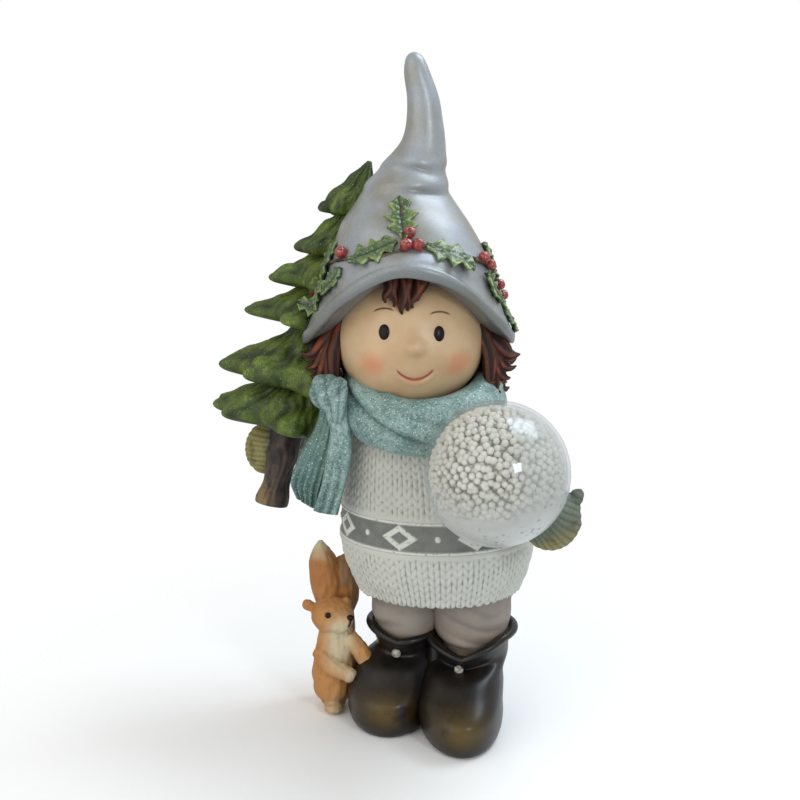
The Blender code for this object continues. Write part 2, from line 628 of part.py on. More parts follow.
def tree(cast, paints, hold):
    """A fir of six tiers on a leaning trunk that is held near its foot."""
    lean = Matrix.Rotation(math.radians(TREE_LEAN), 4, "Y") @ Matrix.Rotation(math.radians(-4), 4, "X")
    foot = hold - (lean @ Vector((0, 0, TRUNK_SHOWING * 0.62)))
    place = Matrix.Translation(foot) @ lean
    r = TRUNK_RADIUS
    trunk = [
        (3.2, 0, 0, r * 1.0),
        (3.0, 0, 4, r * 1.1),
        (2.4, 0, 14, r * 0.9),
        (1.2, 0, 27, r * 1.0),
        (0, 0, TRUNK_SHOWING, r * 0.95),
        (0, 0, TRUNK_SHOWING + TREE_HEIGHT * 0.5, r * 0.7),
    ]
    rows = [(*(place @ Vector(row[:3])), row[3]) for row in trunk]
    cast.tube("trunk", rows, paints["bark"], sides=9, steps=1)
    tiers = (
        (-0.02, 0.235, 0.905), (0.135, 0.395, 0.94), (0.362, 0.56, 0.85),
        (0.50, 0.69, 0.75), (0.628, 0.84, 0.54), (0.79, 1.0, 0.40),
    )
    for i, (low, high, reach) in enumerate(tiers):
        count = TREE_LOBES * 2
        spin = 90 + 13 * i
        neck = 0.10 if i == len(tiers) - 1 else 0.24
        crest = ((neck, 1.0, 0.0), (0.42, 0.66, 0.2), (0.74, 0.35, 0.5))
        profile = (*crest, (1.0, 0.12, 1.0), (0.40, 0.0, 0.2))
        rings = []
        for share, level, spread in profile:
            ring = []
            for k in range(count):
                angle = math.radians(spin + 360 * k / count)
                tip = k % 2 == 0
                out = TREE_REACH * reach * share * (1.0 if tip else 1.0 - 0.34 * spread)
                side = Vector((-math.cos(angle), -math.sin(angle), 0))
                squeeze = 1.0 - 0.45 * max(0.0, side.x) ** 2
                height = (low + (high - low) * level) * TREE_HEIGHT + TRUNK_SHOWING
                droop = 3.0 * spread if tip else 0.0
                ring.append(place @ Vector((side.x * out * squeeze, side.y * out * 0.8, height - droop)))
            rings.append(ring)
        cast.skin(f"tier_{i}", rings, paints["needles"])


def squirrel(cast, paints, seat):
    """A squirrel standing on its hind feet with its forepaws on the boot, and its tail up behind it."""
    g = SQUIRREL_GIRTH
    h = SQUIRREL_HEIGHT
    rows = [
        (seat.x + 2, seat.y, 0, g * 0.68),
        (seat.x + 2, seat.y, 6, g * 0.89),
        (seat.x, seat.y, h * 0.28, g * 1.03),
        (seat.x + 0.5, seat.y - 1, h * 0.5, g * 0.95),
        (seat.x + 0.5, seat.y - 3, h * 0.76, g * 0.74),
    ]
    cast.tube("squirrel_body", rows, paints["fur"], sides=10, steps=1, across=(1, 0, 0))
    face = Vector((seat.x - 1.5, seat.y - 5, h * 0.86))
    radii = (SQUIRREL_HEAD_RADIUS, SQUIRREL_HEAD_RADIUS * 0.94, SQUIRREL_HEAD_RADIUS * 0.88)
    cast.pebble("squirrel_head", face, radii, paints["fur"], around=10, up=6)
    muzzle, nose, eye = Vector((7.5, -5.0, -2)), Vector((12.2, -8.2, -0.5)), Vector((-0.5, -10.2, 2.4))
    cast.pebble("squirrel_muzzle", face + muzzle, (6.2, 5.7, 5.2), paints["fur"], around=8, up=5)
    cast.pebble("squirrel_nose", face + nose, (2, 1.8, 1.6), paints["eye"], around=6, up=4)
    cast.pebble("squirrel_eye", face + eye, (1.7, 1.4, 1.9), paints["eye"], around=6, up=4)
    for side, x in (("right", -12.5), ("left", 8)):
        ear = face + Vector((x, 3, 6))
        cast.pebble("squirrel_ear_" + side, ear, (4.6, 3, 4.6), paints["fur"], around=6, up=4)
    for side, start, end in (
        ("right", (-7, -8, h * 0.5), (8, -17, h * 0.39)),
        ("left", (7, -6, h * 0.6), (19, -13, h * 0.52)),
    ):
        a, b = seat + Vector(start), seat + Vector(end)
        arm = [(*a, 4.7), (*a.lerp(b, 0.5), 5.4), (*b, 4.0)]
        cast.tube("squirrel_arm_" + side, arm, paints["fur"], sides=7, steps=1)
    haunch, foot = seat + Vector((-0.5, -5, h * 0.23)), seat + Vector((4, -7, 4.6))
    cast.pebble("squirrel_haunch", haunch, (11.4, 9.4, 11.4), paints["fur"], around=8, up=5)
    cast.pebble("squirrel_foot", foot, (7.5, 8, 4.4), paints["fur"], around=8, up=4)
    p = TAIL_PLUME_RADIUS
    top = TAIL_PLUME_LENGTH
    cast.tube("squirrel_tail", [
        (seat.x + 2, seat.y + 7, 7, p * 0.7),
        (seat.x + 1, seat.y + 12, 18, p * 1.04),
        (seat.x + 1, seat.y + 15, 45, p * 1.14),
        (seat.x - 4.5, seat.y + 13, top * 0.76, p * 1.24),
        (seat.x - 7, seat.y + 10, top * 0.9, p * 0.88),
        (seat.x - 8, seat.y + 8, top * 1.02, p * 0.25),
    ], paints["fur"], sides=8, steps=1, across=(1, 0, 0))
    lobe = seat + Vector((5.5, 13, top * 0.72))
    cast.pebble("squirrel_tail_side", lobe, (p * 1.08, p * 0.95, p * 2.25), paints["fur"], around=8, up=6)


def globe_parts(cast, paints, globe, toward):
    """The clear hollow ball with its open neck, its packed beads, and the shape of its seat."""
    radius = GLOBE_DIAMETER / 2
    steps = 10
    sides = 20
    turn = toward.to_track_quat("Z", "Y").to_matrix().to_4x4()
    place = Matrix.Translation(globe * MM) @ turn

    def revolve(name, profile, material):
        shape = bmesh.new()
        points = [shape.verts.new((x * MM, 0, z * MM)) for x, z in profile]
        edges = [shape.edges.new(pair) for pair in zip(points, points[1:])]
        bmesh.ops.spin(
            shape, geom=points + edges, cent=(0, 0, 0), axis=(0, 0, 1),
            angle=2 * math.pi, steps=sides, use_duplicate=False,
        )
        bmesh.ops.remove_doubles(shape, verts=shape.verts, dist=1e-6)
        bmesh.ops.recalc_face_normals(shape, faces=shape.faces)
        mesh = bpy.data.meshes.new(name)
        shape.to_mesh(mesh)
        shape.free()
        mesh.materials.append(material)
        obj = bpy.data.objects.new(name, mesh)
        obj.matrix_world = place
        bpy.context.scene.collection.objects.link(obj)
        return obj

    def arc(r, start, end):
        angles = [start + (end - start) * k / steps for k in range(steps + 1)]
        return [(r * math.sin(a), r * math.cos(a)) for a in angles]

    inner = radius - GLOBE_WALL
    bore = NECK_RADIUS - GLOBE_WALL
    foot = math.sqrt(radius ** 2 - NECK_RADIUS ** 2) + NECK_LENGTH
    outside = arc(radius, math.pi, math.asin(NECK_RADIUS / radius))
    inside = arc(inner, math.asin(bore / inner), math.pi)
    shell = revolve("globe_shell", outside + [(NECK_RADIUS, foot), (bore, foot)] + inside, paints["clear"])
    shell.data.shade_smooth()

    room = inner * math.cos(math.pi / sides) * math.cos(math.pi / steps / 2) - FIT_GAP
    fill = bmesh.new()
    bmesh.ops.create_icosphere(fill, subdivisions=3, radius=(room - BEAD_BUMP) * MM)
    crowns = bmesh.ops.poke(fill, faces=fill.faces)["verts"]
    for crown in crowns:
        crown.co = crown.co.normalized() * room * MM
    mesh = bpy.data.meshes.new("globe_beads")
    fill.to_mesh(mesh)
    fill.free()
    mesh.materials.append(paints["bead"])
    beads = bpy.data.objects.new("globe_beads", mesh)
    beads.matrix_world = place
    bpy.context.scene.collection.objects.link(beads)

    cutters = bpy.data.collections.new("globe_seat")
    bpy.context.scene.collection.children.link(cutters)
    clear = radius + FIT_GAP
    wide = NECK_RADIUS + FIT_GAP
    deep = foot + SOCKET_DEPTH - NECK_LENGTH
    bowl = arc(clear, math.pi, math.asin(wide / clear))
    seat = revolve("seat_cutter", bowl + [(wide, deep), (0, deep)], paints["bark"])
    bpy.context.scene.collection.objects.unlink(seat)
    cutters.objects.link(seat)
    seat.hide_render = True
    seat.display_type = "WIRE"
    return cutters


def main():
    clear_scene()
    paints = {
        "skin": paint("skin_paint", 214, 178, 140, 0.4),
        "eye": paint("black_gloss_paint", 18, 14, 14, 0.15),
        "hair": paint("brown_hair_paint", 84, 48, 36, 0.5),
        "hat": paint("pearl_grey_paint", 158, 166, 174, 0.3, 0.45),
        "scarf": paint("turquoise_glitter_paint", 132, 170, 168, 0.45, 0.2),
        "knit": paint("white_knit_paint", 200, 203, 196, 0.6),
        "band": paint("grey_band_paint", 118, 121, 117, 0.55),
        "diamond": paint("pale_diamond_paint", 196, 200, 196, 0.5),
        "trousers": paint("taupe_paint", 150, 141, 135, 0.6),
        "boot": paint("dark_brown_gloss_paint", 52, 42, 34, 0.25),
        "cuff": paint("black_brown_gloss_paint", 34, 28, 28, 0.25),
        "button": paint("grey_button_paint", 170, 168, 160, 0.4),
        "mitten": paint("olive_knit_paint", 134, 134, 96, 0.6),
        "leaf": paint("holly_green_paint", 78, 112, 52, 0.4),
        "berry": paint("berry_red_paint", 170, 52, 44, 0.3),
        "needles": paint("fir_green_paint", 82, 100, 42, 0.45),
        "bark": paint("bark_brown_paint", 76, 66, 58, 0.7),
        "fur": paint("squirrel_orange_paint", 190, 130, 76, 0.6),
        "clear": paint("clear_plastic", 240, 244, 246, 0.05, 0.0, 0.25),
        "bead": paint("white_bead_foam", 226, 226, 220, 0.7),
    }
    hem = BOOT_HEIGHT + TROUSER_SHOWING
    neck = Vector((-7, -4, hem + SWEATER_LENGTH - 6))
    face = Vector((-12.5, -9, neck.z + 35))
    hold_x = -SWEATER_HALF_WIDTH - RIGHT_ARM_REACH
    trunk_hold = Vector((hold_x, 5, hem + SWEATER_LENGTH * 0.66))
    globe_y = -SWEATER_HALF_DEPTH * 0.85 - GLOBE_DIAMETER / 2 + 1.0
    globe = Vector((GLOBE_OFFSET, globe_y, hem + SWEATER_LENGTH * 0.735))
    toward = Vector((0.45, 0.62, -0.64)).normalized()
    left_x, right_x = 3 + LEG_SPACING / 2, 3 - LEG_SPACING / 2
    squirrel_x = right_x - 8 - RIGHT_BOOT_HALF_WIDTH - SQUIRREL_STANDOFF

    cast = Casting()
    boots(cast, paints, left_x, right_x)
    legs(cast, paints, left_x, right_x, hem)
    sweater(cast, paints, hem)
    arms(cast, paints, Vector((neck.x + 3, 0, neck.z)), globe, trunk_hold)
    scarf(cast, paints, neck)
    head(cast, paints, face)
    hair(cast, paints, face)
    hat = Hat(face)
    hat.cast(cast, paints)
    garland(cast, paints, hat)
    tree(cast, paints, trunk_hold)
    squirrel(cast, paints, Vector((squirrel_x, 2, 0)))
    seat = globe_parts(cast, paints, globe, toward)

    body = bpy.data.objects["sweater"].data
    bpy.data.objects.remove(bpy.data.objects["sweater"])
    figure = bpy.data.objects.new("figure", body)
    bpy.context.scene.collection.objects.link(figure)
    for material in paints.values():
        if material.name not in figure.data.materials:
            figure.data.materials.append(material)
    join = figure.modifiers.new("join_cast_shapes", "BOOLEAN")
    join.operation = "UNION"
    join.operand_type = "COLLECTION"
    join.collection = cast.shapes
    join.solver = "EXACT"
    join.material_mode = "TRANSFER"
    cut = figure.modifiers.new("cut_globe_seat", "BOOLEAN")
    cut.operation = "DIFFERENCE"
    cut.operand_type = "COLLECTION"
    cut.collection = seat
    cut.solver = "EXACT"


main()
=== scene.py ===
import math

import bmesh
import bpy
import numpy as np
from mathutils import Matrix, Vector


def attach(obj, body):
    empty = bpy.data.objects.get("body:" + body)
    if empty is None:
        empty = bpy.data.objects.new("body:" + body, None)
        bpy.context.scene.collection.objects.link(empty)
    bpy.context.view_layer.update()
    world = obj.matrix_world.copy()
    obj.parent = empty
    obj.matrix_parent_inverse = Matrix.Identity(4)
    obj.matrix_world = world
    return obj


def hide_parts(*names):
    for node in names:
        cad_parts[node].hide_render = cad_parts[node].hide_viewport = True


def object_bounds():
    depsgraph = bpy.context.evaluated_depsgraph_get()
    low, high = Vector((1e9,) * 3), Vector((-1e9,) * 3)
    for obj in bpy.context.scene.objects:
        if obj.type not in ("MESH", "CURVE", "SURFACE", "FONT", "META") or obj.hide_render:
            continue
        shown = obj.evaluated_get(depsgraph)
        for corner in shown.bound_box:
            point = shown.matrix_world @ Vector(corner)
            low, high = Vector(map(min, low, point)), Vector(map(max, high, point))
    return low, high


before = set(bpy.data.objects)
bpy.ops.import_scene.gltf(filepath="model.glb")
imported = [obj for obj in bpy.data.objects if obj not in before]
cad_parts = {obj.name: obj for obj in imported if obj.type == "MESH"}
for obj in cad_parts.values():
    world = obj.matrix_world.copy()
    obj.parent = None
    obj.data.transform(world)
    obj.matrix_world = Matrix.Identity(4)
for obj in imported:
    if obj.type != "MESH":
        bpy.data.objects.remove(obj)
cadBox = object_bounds()
print("frame loaded")

# Everything below is in millimetres, in the frame's own axes: the child faces -Y
stance = {
    "hem": 74.0,
    "neck": np.array([-7.0, -4.0, 176.0]),
    "face": np.array([-12.5, -9.0, 211.0]),
    "hold": np.array([-83.0, 5.0, 145.3]),
    "globe": np.array([29.0, -73.5, 155.4]),
    "squirrel": np.array([-54.0, 2.0, 0.0]),
}


def screen(red, green, blue):
    return tuple((v / 255) ** 2.2 for v in (red, green, blue)) + (1.0,)


# Numbers and curves

def polar(degrees):
    turn = np.radians(degrees)  # 0 is the front, 90 the child's left
    return np.sin(turn), -np.cos(turn)


def through(rows, count, by=3):
    # a smooth curve through rows of numbers, read at even steps of the length of its first columns
    rows = np.array(rows, float)
    ends = np.vstack([2 * rows[:1] - rows[1:2], rows, 2 * rows[-1:] - rows[-2:-1]])
    t = np.linspace(0, len(rows) - 1, 40 * len(rows))
    i = np.minimum(t.astype(int), len(rows) - 2)
    f = (t - i)[:, None]
    a, b, c, d = ends[i], ends[i + 1], ends[i + 2], ends[i + 3]
    curve = 0.5 * (2 * b + (c - a) * f + (2 * a - 5 * b + 4 * c - d) * f**2 + (3 * b - a - 3 * c + d) * f**3)
    run = np.concatenate([[0], np.cumsum(np.linalg.norm(np.diff(curve[:, :by], axis=0), axis=1))])
    want = np.linspace(0, run[-1], count)
    return np.stack([np.interp(want, run, column) for column in curve.T], axis=1)


def circle(count):
    return np.linspace(0, 2 * math.pi, count, endpoint=False)


def bell(value, width):
    return np.exp(-((value / width) ** 2))


def ease(low, high, value):
    t = np.clip((value - low) / (high - low), 0, 1)
    return t * t * (3 - 2 * t)


def lumps(points, size, seed=0, stretch=(1, 1, 1), waves=14):
    # a soft random swell over space, about -1 to 1, whose humps are about size across
    draw = np.random.default_rng(seed)
    points = points / np.array(stretch)
    total = 0
    for _ in range(waves):
        way = draw.normal(size=3)
        way /= np.linalg.norm(way)
        step = math.pi / (size * draw.uniform(0.6, 1.5))
        total = total + np.sin(points @ way * step + draw.uniform(0, 2 * math.pi))
    return total / math.sqrt(waves)


# Meshes

def normalsOf(grid, loop=False):
    across = np.roll(grid, -1, axis=1) - np.roll(grid, 1, axis=1)
    up = (np.roll(grid, -1, axis=0) - np.roll(grid, 1, axis=0)) if loop else np.gradient(grid, axis=0)
    out = np.cross(across, up)
    out /= np.maximum(np.linalg.norm(out, axis=-1, keepdims=True), 1e-9)
    middle = grid.mean(axis=1, keepdims=True)
    return out if (out * (grid - middle)).sum() > 0 else -out


def relief(grid, height, loop=False):
    return grid + normalsOf(grid, loop) * height[..., None]


def piece(name, mesh, material, node="figure"):
    # one finished piece of the object, which takes the place of a plain CAD node
    mesh.shade_smooth()
    mesh.materials.clear()
    mesh.materials.append(material)
    made = bpy.data.objects.new(name, mesh)
    bpy.context.scene.collection.objects.link(made)
    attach(made, "root")
    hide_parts(node)


def layers(mesh, **values):
    # one number for each of the mesh's points, kept for its paint
    for name, value in values.items():
        value = np.asarray(value, np.float32)
        mesh.attributes.new(name, "FLOAT", "POINT").data.foreach_set("value", value.ravel())
    return mesh


def skin(name, grid, loop=False):
    # a mesh over rings of points, closed round each ring and capped or looped at its ends
    rows, columns = grid.shape[:2]
    index = np.arange(rows * columns).reshape(rows, columns)
    low = index if loop else index[:-1]
    high = np.roll(index, -1, axis=0) if loop else index[1:]
    quads = np.stack([low, np.roll(low, -1, axis=1), np.roll(high, -1, axis=1), high], axis=-1)
    faces = quads.reshape(-1, 4).tolist()
    if not loop:
        faces += [index[0][::-1].tolist(), index[-1].tolist()]
    mesh = bpy.data.meshes.new(name)
    mesh.from_pydata((grid.reshape(-1, 3) * 0.001).tolist(), [], faces)
    sheet = bmesh.new()
    sheet.from_mesh(mesh)
    if sheet.calc_volume(signed=True) < 0:
        bmesh.ops.reverse_faces(sheet, faces=sheet.faces)
    sheet.to_mesh(mesh)
    sheet.free()
    return mesh


def joined(name, meshes):
    whole = bmesh.new()
    for mesh in meshes:
        whole.from_mesh(mesh)
    made = bpy.data.meshes.new(name)
    whole.to_mesh(made)
    whole.free()
    return made


def fused(name, meshes, grain, rounds=4):
    # overlapping shapes run together into one smooth skin
    rough = bpy.data.objects.new(name, joined(name, meshes))
    bpy.context.scene.collection.objects.link(rough)
    melt = rough.modifiers.new("melt", "REMESH")
    melt.mode = "VOXEL"
    melt.voxel_size = grain * 0.001
    soften = rough.modifiers.new("soften", "SMOOTH")
    soften.factor = 0.5
    soften.iterations = rounds
    bpy.context.view_layer.update()
    made = bpy.data.meshes.new_from_object(rough.evaluated_get(bpy.context.evaluated_depsgraph_get()))
    bpy.data.objects.remove(rough)
    made.name = name
    return made


def pointsOf(mesh):
    spots = np.empty(len(mesh.vertices) * 3)
    mesh.vertices.foreach_get("co", spots)
    return spots.reshape(-1, 3) * 1000


def pushed(mesh, height):
    # moves each point of a mesh out along its normal
    ways = np.empty(len(mesh.vertices) * 3)
    mesh.vertices.foreach_get("normal", ways)
    spots = pointsOf(mesh) + ways.reshape(-1, 3) * np.asarray(height)[:, None]
    mesh.vertices.foreach_set("co", (spots * 0.001).ravel())
    mesh.update()
    return mesh


def placed(origin, rows):
    # rows of x, y, z, radius, moved to an origin
    return [(*(origin + np.array(row[:3])), row[3]) for row in rows]


def tubeGrid(path, count, around, flat=1.0, across=None, shape=None):
    # rings along a smooth path of x, y, z, radius; shape bends the radius by angle and share of the length
    rows = through(path, count)
    spots = rows[:, :3]
    along = np.gradient(spots, axis=0)
    along /= np.linalg.norm(along, axis=1, keepdims=True)
    side = np.array(across if across is not None else (0.0, 0.31, 0.95), float)
    if across is None and abs(along[0] @ side) > 0.9:
        side = np.array([1.0, 0.2, 0.0])
    turn = circle(around)
    grid = np.empty((count, around, 3))
    for i in range(count):
        wide = side - along[i] * (side @ along[i])
        wide /= np.linalg.norm(wide)
        if across is None:
            side = wide
        thick = np.cross(along[i], wide)
        swell = 1.0 if shape is None else shape(turn, i / (count - 1))
        ring = np.cos(turn)[:, None] * wide + flat * np.sin(turn)[:, None] * thick
        grid[i] = spots[i] + ring * (rows[i, 3] * swell * np.ones(around))[:, None]
    return grid


def ballGrid(centre, radii, rows, around, turn=(0, 0, 0)):
    # an egg-shaped body as rings from pole to pole
    tilt = np.linspace(0.02, math.pi - 0.02, rows)[:, None]
    sweep = circle(around)[None]
    ball = np.stack([
        np.sin(tilt) * np.sin(sweep) * radii[0],
        -np.sin(tilt) * np.cos(sweep) * radii[1],
        -np.cos(tilt) * np.ones_like(sweep) * radii[2],
    ], axis=-1)
    spin = Matrix.Identity(3)
    for axis, degrees in zip("XYZ", turn):
        spin = spin @ Matrix.Rotation(math.radians(degrees), 3, axis)
    return ball @ np.array(spin).T + np.array(centre)


def ovalGrid(rows, around):
    # level rings from rows of z, x, y, half width, half depth and the rise of the ring's front half
    sideways, forward = polar(np.linspace(0, 360, around, endpoint=False))
    z, x, y, wide, deep, lift = (column[:, None] for column in np.array(rows, float).T)
    front = np.maximum(0, -forward)
    return np.stack([x + wide * sideways, y + deep * forward, z + lift * front**2], axis=-1)


# Paints

class Value:
    # one output socket, so that masks and mixes can be written as sums
    def __init__(self, paint, socket):
        self.paint = paint
        self.socket = socket

    def sum(self, operation, first, second=0.0):
        return self.paint.node("ShaderNodeMath", {"operation": operation}, {0: first, 1: second})

    def __add__(self, other):
        return self.sum("ADD", self, other)

    def __radd__(self, other):
        return self.sum("ADD", other, self)

    def __sub__(self, other):
        return self.sum("SUBTRACT", self, other)

    def __rsub__(self, other):
        return self.sum("SUBTRACT", other, self)

    def __mul__(self, other):
        return self.sum("MULTIPLY", self, other)

    def __rmul__(self, other):
        return self.sum("MULTIPLY", other, self)

    def __pow__(self, other):
        return self.sum("POWER", self, other)

    def __gt__(self, other):
        return self.sum("GREATER_THAN", self, other)

    def size(self):
        return self.sum("ABSOLUTE", self)

    def between(self, low, high):
        # 0 below low, 1 above high, smooth in between
        return self.paint.node("ShaderNodeMapRange", {"interpolation_type": "SMOOTHSTEP"},
                               {"Value": self, "From Min": low, "From Max": high})


class Paint:
    # a painted finish in the making
    def __init__(self, name, **plain):
        self.material = bpy.data.materials.new(name)
        self.material.use_nodes = True
        self.tree = self.material.node_tree
        self.shader = self.tree.nodes["Principled BSDF"]
        for key, value in plain.items():
            self.shader.inputs[key.replace("_", " ")].default_value = value

    def node(self, kind, settings=None, sockets=None, output=0):
        made = self.tree.nodes.new(kind)
        for key, value in (settings or {}).items():
            setattr(made, key, value)
        for key, value in (sockets or {}).items():
            if isinstance(value, Value):
                self.tree.links.new(value.socket, made.inputs[key])
            else:
                made.inputs[key].default_value = value
        return Value(self, made.outputs[output])

    def place(self):
        return self.node("ShaderNodeTexCoord", output="Object")

    def axis(self, i, centre):
        # the place along one axis, in millimetres from a point
        return self.node("ShaderNodeSeparateXYZ", {}, {0: self.place()}, output=i) * 1000 - float(centre[i])

    def layer(self, name):
        return self.node("ShaderNodeAttribute", {"attribute_name": name}, output="Fac")

    def noise(self, size, detail=3.0, where=None):
        # cloudy values with features about size millimetres across
        return self.node("ShaderNodeTexNoise", {}, {
            "Vector": where or self.place(), "Scale": 1000 / size, "Detail": detail, "Roughness": 0.55,
        }, output="Fac")

    def cells(self, size, output="Distance"):
        sockets = {"Vector": self.place(), "Scale": 1000 / size}
        return self.node("ShaderNodeTexVoronoi", {}, sockets, output=output)

    def stretched(self, x, y, z):
        sockets = {0: self.place(), 1: (x, y, z)}
        return self.node("ShaderNodeVectorMath", {"operation": "MULTIPLY"}, sockets)

    def mix(self, mask, first, second, how="MIX"):
        # each tone is a value or a screen's red, green and blue
        first, second = (tone if isinstance(tone, Value) else screen(*tone) for tone in (first, second))
        settings = {"data_type": "RGBA", "blend_type": how}
        return self.node("ShaderNodeMix", settings, {0: mask, 6: first, 7: second}, output=2)

    def flecks(self, size, share):
        # hard little specks on about this share of the cells
        tone = self.node("ShaderNodeSeparateColor", {}, {0: self.cells(size, "Color")}, output=0)
        return (tone > 1 - share) * (1 - self.cells(size).between(0.2, 0.45))

    def use(self, **links):
        for key, value in links.items():
            self.tree.links.new(value.socket, self.shader.inputs[key.replace("_", " ")])
        return self

    def bump(self, height, depth, strength=1.0):
        # depth in millimetres for a height of 1
        sockets = {"Strength": strength, "Distance": depth * 0.001, "Height": height}
        return self.use(Normal=self.node("ShaderNodeBump", {}, sockets, output="Normal"))


def pearlPaint(look):
    paint = Paint("hat_pearl", Metallic=look["metal"], Coat_Weight=0.2, Coat_Roughness=0.3)
    cloud = paint.noise(30, 4)
    tone = paint.mix(cloud.between(0.35, 0.65), look["light"], look["mid"])
    # painted shade darkens the hat's creases
    tone = paint.mix(paint.layer("cavity") * 0.8, tone, look["deep"])
    tone = paint.mix(paint.layer("lip") * 0.7, tone, look["lip"])
    grain = paint.node("ShaderNodeSeparateColor", {}, {0: paint.cells(0.45, "Color")})
    shine = paint.mix(grain, (100, 104, 108), (222, 226, 228))
    tone = paint.mix(0.12, tone, shine, "OVERLAY")
    paint.use(Base_Color=tone, Roughness=look["roughness"] + 0.14 * paint.noise(4, 3) + 0.08 * cloud)
    paint.bump(grain * 0.25 + paint.noise(7, 4), look["unevenness"], 0.5)
    return paint.material


def knitPaint(name, high, low, patchyShade):
    paint = Paint(name)
    depth = paint.layer("cavity")
    # painted shade darkens the grooves of the knit, with darker patches of painted shade in the deepest of
    # them
    tone = paint.mix(depth.between(0.3, 0.95), high, low)
    shadePatches = paint.noise(5, 4).between(0.4, 0.62)
    tone = paint.mix(shadePatches * depth.between(0.55, 1.0), tone, patchyShade)
    fibre = paint.noise(0.55, 2)
    paint.use(Base_Color=tone, Roughness=0.72 - 0.12 * (1 - depth))
    paint.bump(fibre + 0.6 * paint.noise(1.4, 2), 0.16, 0.8)
    return paint.material


print("helpers ready")

# Sweater

sweater = {
    "length": 108.0, "halfWidth": 52.5, "halfDepth": 46.5,
    "outline": [(0, 0.85), (0.11, 0.945), (0.24, 1.0), (0.38, 0.985), (0.52, 0.93), (0.7, 0.86), (0.84, 0.78),
                (0.93, 0.64), (1.0, 0.46)],
    "bandLow": 31.0, "bandHigh": 46.5, "bandRecess": 0.9,
    "columns": 54, "perColumn": 8, "stitchHeight": 4.7, "stitchDepth": 1.3,
    # shade, and the darker tone after it, are painted shade in the grooves of the knit
    "white": (190, 192, 185), "shade": (145, 149, 142), "patchyShade": (104, 106, 93),
    "grey": (116, 119, 115), "pale": (196, 200, 196), "diamonds": 8,
    "diamondWidth": 20.6, "diamondHeight": 13.6, "foot": 3.2, "lean": 8.6, "topEnd": 97.0,
}


def sweaterSize(height):
    share = np.clip(np.asarray(height, float) / sweater["length"], 0, 1)
    curve = through(sweater["outline"], 400, by=2)
    return share, np.interp(share, curve[:, 0], curve[:, 1])


def sweaterGrid(heights, around, inset=0.0):
    share, size = sweaterSize(heights)
    wide, deep = sweater["halfWidth"] * size - inset, sweater["halfDepth"] * size - inset
    middle, none = sweater["foot"] - sweater["lean"] * share**1.5, np.zeros_like(share)
    rows = np.stack([stance["hem"] + np.asarray(heights), middle, none, wide, deep, none], axis=1)
    return ovalGrid(rows, around)


def evenHeights(low, high, step):
    # heights whose steps are even along the sweater's curved side
    fine = np.linspace(low, high, 600)
    outward = np.diff(sweaterSize(fine)[1] * sweater["halfWidth"])
    run = np.concatenate([[0], np.cumsum(np.hypot(np.diff(fine), outward))])
    count = int(run[-1] / step) + 1
    return np.interp(np.linspace(0, run[-1], count), run, fine), np.linspace(0, run[-1], count)


def stitches(column, row, slant=0.8):
    # the knit's height from 0 in its grooves to 1 on the yarn: two slanted strands to each column
    half = (column * 2) % 1.0
    side = np.where(column % 1.0 < 0.5, 1.0, -1.0)
    along = (row + side * slant * (half - 0.5)) % 1.0 - 0.5
    ridge = np.sqrt(np.clip(1 - 0.96 * (2 * half - 1) ** 2, 0, 1))
    strand = np.sqrt(np.clip(1 - 0.92 * (2 * along) ** 2, 0, 1))
    groove = np.abs(np.sin(math.pi * column)) ** 0.35
    return ridge * strand * (0.72 + 0.28 * groove)


